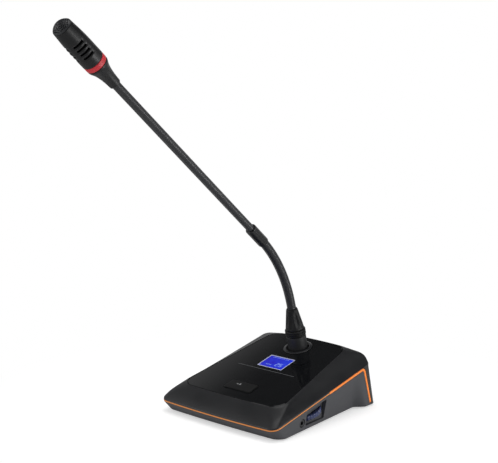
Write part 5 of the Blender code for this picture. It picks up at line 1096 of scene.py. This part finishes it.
def make_grille():
    """Domed end cap with a hexagonal field of fine holes: rows stand the sine of 60 degrees times
    the pitch apart, and each has one hole less than the row on its inner side."""
    low, face = HEAD_TOP + GAP, CAP_TIP - GRILLE_DOME
    under, inner = face - GRILLE_THICK, HEAD_BORE - GAP - CAP_RIM
    share, fall = GRILLE_POINT
    edge = softened(((HEAD_TOP_RADIUS, low), (CAP_SHOULDER_RADIUS, CAP_SHOULDER),
                     (CAP_TIP_RADIUS, face),
                     (CAP_TIP_RADIUS * share, CAP_TIP - GRILLE_DOME * fall), (0, CAP_TIP)),
                    CAP_SOFT, 6)
    cap = turned("cap", np.vstack(((0, under), (inner, under), (inner, low), edge)), 96)
    holes = []
    for row in range(-GRILLE_ROWS, GRILLE_ROWS + 1):
        count = 2 * GRILLE_ROWS + 1 - abs(row)
        y = row * GRILLE_PITCH * math.sin(math.pi / 3)
        holes += [rod("hole", GRILLE_HOLE, under - CUT_PAST, CAP_TIP + CUT_PAST,
                      ((k - (count - 1) / 2) * GRILLE_PITCH, y), 8) for k in range(count)]
    cap = worked(cap, ("DIFFERENCE", joined("holes", holes)))
    piece("head_mesh_cap", at_head(cap), "head", GRILLE_BLACK, ["head_grille"],
          sharp=40)


# Side controls, rear and underside

def make_wheel():
    """Thumbwheel: a disc whose rim dips between teeth by a raised power of a cosine. Its section is
    half of a list of (radius, height, share of the teeth's depth), and the same below."""
    half = WHEEL_THICK / 2
    angle = np.linspace(0, 2 * math.pi, WHEEL_TEETH * 12, endpoint=False)
    dip = WHEEL_TOOTH * ((1 + np.cos(angle * WHEEL_TEETH)) / 2) ** 2
    section = [(WHEEL_BORE, half - WHEEL_SUNK, 0), (WHEEL_DISH, half - WHEEL_SUNK, 0),
               (WHEEL_LAND, half, 0), (WHEEL_RADIUS - WHEEL_EDGE, half, WHEEL_EDGE_TOOTH),
               (WHEEL_RADIUS, half - WHEEL_EDGE, 1)]
    section = [(radius, -height, toothed) for radius, height, toothed in section] + section[::-1]
    radius, height, toothed = (column[:, None] for column in np.array(section).T)
    reach = radius - dip * toothed
    rows = np.stack((reach * np.cos(angle), reach * np.sin(angle), height + 0 * angle), -1)
    mesh = placed(stacked("wheel", rows), (WHEEL_X, depth(WHEEL_DEPTH), WHEEL_HEIGHT), PANEL_SLOPE)
    piece("volume_thumbwheel", mesh, "volume_dial", WHEEL_GREY, ["volume_wheel"],
          sharp=40)


def make_jack():
    """Jack barrel with a rounded lip and a bore, lying along X."""
    profile = softened(((0, -JACK_BORE_DEEP), (JACK_BORE, -JACK_BORE_DEEP), (JACK_BORE, 0),
                        (JACK_BARREL, 0), (JACK_BARREL, -JACK_DEEP), (0, -JACK_DEEP)),
                       (0, JACK_SOFT, JACK_SOFT, 0))
    mesh = placed(turned("jack", profile, 64), (JACK_FACE, depth(JACK_DEPTH), JACK_HEIGHT),
                  math.pi / 2, "Y")
    piece("headphone_socket", mesh, "base", JACK_BLACK, ["headphone_jack"])


def make_underside():
    """Turned feet, and turned screws with a cross cut into each head."""
    top = FOOT_PROUD + PAD_SUNK
    profile = softened(((0, 0), (PAD_RADIUS, 0), (PAD_RADIUS, top), (0, top)), PAD_SOFT)
    places = [(side * x, depth(y), 0) for x, y in PAD_PLACES for side in (-1, 1)]
    for number, place in enumerate(places, start=1):
        piece("foot_pad_%d" % number, placed(turned("foot", profile, 64), place), "base",
              FOOT_RUBBER, ["rubber_foot_%d" % number])
    top = FOOT_PROUD + SCREW_SUNK - GAP
    low = top - SCREW_TALL
    profile = softened(((0, low), (SCREW_HEAD_RADIUS, low), (SCREW_HEAD_RADIUS, top),
                        (SCREW_RADIUS, top), (SCREW_RADIUS, top + SCREW_LONG),
                        (0, top + SCREW_END)), SCREW_SOFT)
    places = [(side * x, depth(y), 0) for x, y in POST_PLACES for side in (-1, 1)]
    for number, place in enumerate(places, start=1):
        drive = [prism("drive", rounded_rectangle(a, b, DRIVE_ROUND, 3), -OVERRUN, low + DRIVE_DEEP)
                 for a, b in (DRIVE_ARM, DRIVE_ARM[::-1])]
        head = worked(turned("screw", profile, 48), *(("DIFFERENCE", arm) for arm in drive))
        piece("screw_%d" % number, placed(head, place), "base", SCREW_STEEL,
              ["case_screw_%d" % number])


# Stage

def make_floor():
    """Pale floor. Rays of the camera, mirrors and glass see it white away from the object, and with
    its soft shadow near the object; a smooth step of the distance leads from one to the other."""
    mesh, reach = bpy.data.meshes.new("floor"), FLOOR_REACH
    mesh.from_pydata([(-reach, -reach, 0), (reach, -reach, 0), (reach, reach, 0),
                      (-reach, reach, 0)], [], [(0, 1, 2, 3)])
    floor = bpy.data.objects.new("floor", mesh)
    bpy.context.scene.collection.objects.link(floor)
    material = bpy.data.materials.new("matt_paper_white")
    material.use_nodes = True
    tree = material.node_tree
    tree.nodes.clear()
    place = add(tree, "ShaderNodeTexCoord").outputs["Object"]
    path = add(tree, "ShaderNodeLightPath").outputs
    # Matt paper: white without a shine, with a fibre of 4 mm, as coarse as it needs to be to show
    fibre = add(tree, "ShaderNodeTexNoise", {"Vector": place, "Scale": 1 / FLOOR_FIBRE,
                                             "Detail": 3.0})
    tone = add(tree, "ShaderNodeMix", {"Factor": fibre, "A": linear_colour("DEDEDE"),
                                       "B": linear_colour("E2E2E2")}, data_type="RGBA")
    paper = add(tree, "ShaderNodeBsdfDiffuse", {"Color": tone})
    glows = []
    for seen, mirrored in (FLOOR_NEAR, FLOOR_AWAY):
        level = add(tree, "ShaderNodeMix", {"Factor": path["Is Glossy Ray"], "A": seen,
                                            "B": mirrored})
        glows.append(add(tree, "ShaderNodeEmission", {"Color": WHITE, "Strength": level}))
    near = add(tree, "ShaderNodeAddShader", {0: paper, 1: glows[0]})
    away = add(tree, "ShaderNodeVectorMath", {0: place}, operation="LENGTH")
    share = add(tree, "ShaderNodeMapRange", {"Value": away, "From Min": FLOOR_RING[0],
                                             "From Max": FLOOR_RING[1]},
                interpolation_type="SMOOTHSTEP")
    shown = add(tree, "ShaderNodeMixShader", {0: share, 1: near, 2: glows[1]})
    seen = path["Is Camera Ray"]
    for ray in ("Is Glossy Ray", "Is Transmission Ray"):
        seen = add(tree, "ShaderNodeMath", {0: seen, 1: path[ray]}, operation="MAXIMUM")
    pick = add(tree, "ShaderNodeMixShader", {0: seen, 1: paper, 2: shown})
    add(tree, "ShaderNodeOutputMaterial", {"Surface": pick})
    mesh.materials.append(material)


def make_world():
    """Even soft light. The camera sees white. Mirrors see the white backdrop that stands behind the
    object, bright at the horizon and fading overhead, with a dim card high up at the left, and a
    dark room on the camera's side. Each of these is a product of smooth steps of the height and of
    the share of a direction."""
    world = bpy.data.worlds.new("studio")
    bpy.context.scene.world = world
    world.use_nodes = True
    tree = world.node_tree
    tree.nodes.clear()
    way = add(tree, "ShaderNodeTexCoord").outputs["Generated"]
    up = add(tree, "ShaderNodeSeparateXYZ", {"Vector": way}).outputs["Z"]
    behind, side = (add(tree, "ShaderNodeVectorMath", {0: way, 1: toward}, operation="DOT_PRODUCT")
                    for toward in (BACKDROP_WAY, CARD_WAY))
    parts = []
    for factors in (((up, SKY_STEP), (behind, BACKDROP_STEP)),
                    ((side, CARD_STEP), (side, CARD_FADE), (up, CARD_TOP))):
        part = None
        for value, (start, end, low, high) in factors:
            step = add(tree, "ShaderNodeMapRange", {"Value": value, "From Min": start,
                                                    "From Max": end, "To Min": low,
                                                    "To Max": high},
                       interpolation_type="SMOOTHSTEP")
            part = step if part is None else add(tree, "ShaderNodeMath", {0: part, 1: step},
                                                 operation="MULTIPLY")
        parts.append(part)
    glow = add(tree, "ShaderNodeMath", {0: parts[0], 1: parts[1]}, operation="ADD")
    path = add(tree, "ShaderNodeLightPath").outputs
    matt = add(tree, "ShaderNodeMix", {"Factor": path["Is Diffuse Ray"], "A": glow,
                                       "B": SOFT_LIGHT})
    seen = add(tree, "ShaderNodeMix", {"Factor": path["Is Camera Ray"], "A": matt, "B": 1.0})
    light = add(tree, "ShaderNodeBackground", {"Color": WHITE, "Strength": seen})
    add(tree, "ShaderNodeOutputWorld", {"Surface": light})


def make_lamps():
    """Rectangular softboxes. A high one evens the base, one at the left draws the panel's edge, two
    at the right draw the neck and the soft patch on the head, and a low one fills the front."""
    for name, place, aim, size, power in LAMPS:
        data = bpy.data.lights.new(name, "AREA")
        data.shape, data.size, data.size_y, data.energy = "RECTANGLE", size[0], size[1], power
        lamp = bpy.data.objects.new(name, data)
        lamp.location = place
        lamp.rotation_mode = "QUATERNION"
        lamp.rotation_quaternion = (Vector(aim) - Vector(place)).to_track_quat("-Z", "Y")
        bpy.context.scene.collection.objects.link(lamp)


def make_camera():
    """Camera at the photograph's angle: it looks along the direction of its azimuth and elevation,
    then rolls about that direction."""
    azimuth, elevation = CAMERA_AZIMUTH, CAMERA_ELEVATION
    look = Vector((-math.sin(azimuth) * math.cos(elevation),
                   math.cos(azimuth) * math.cos(elevation), -math.sin(elevation)))
    data = bpy.data.cameras.new("camera")
    data.sensor_width, data.lens, data.clip_end = SENSOR, CAMERA_LENS, CAMERA_REACH
    camera = bpy.data.objects.new("camera", data)
    camera.location = CAMERA_PLACE
    camera.rotation_mode = "QUATERNION"
    camera.rotation_quaternion = look.to_track_quat("-Z", "Y") @ Quaternion((0, 0, 1), CAMERA_ROLL)
    bpy.context.scene.collection.objects.link(camera)
    bpy.context.scene.camera = camera


dress_solids()
make_shells()
make_trim()
make_panel()
make_button()
make_socket_ring()
make_plug()
make_boot()
make_neck()
make_stem()
make_head()
make_grille()
make_wheel()
make_jack()
make_underside()
make_floor()
make_world()
make_lamps()
make_camera()
bpy.context.scene.view_settings.view_transform = "Standard"
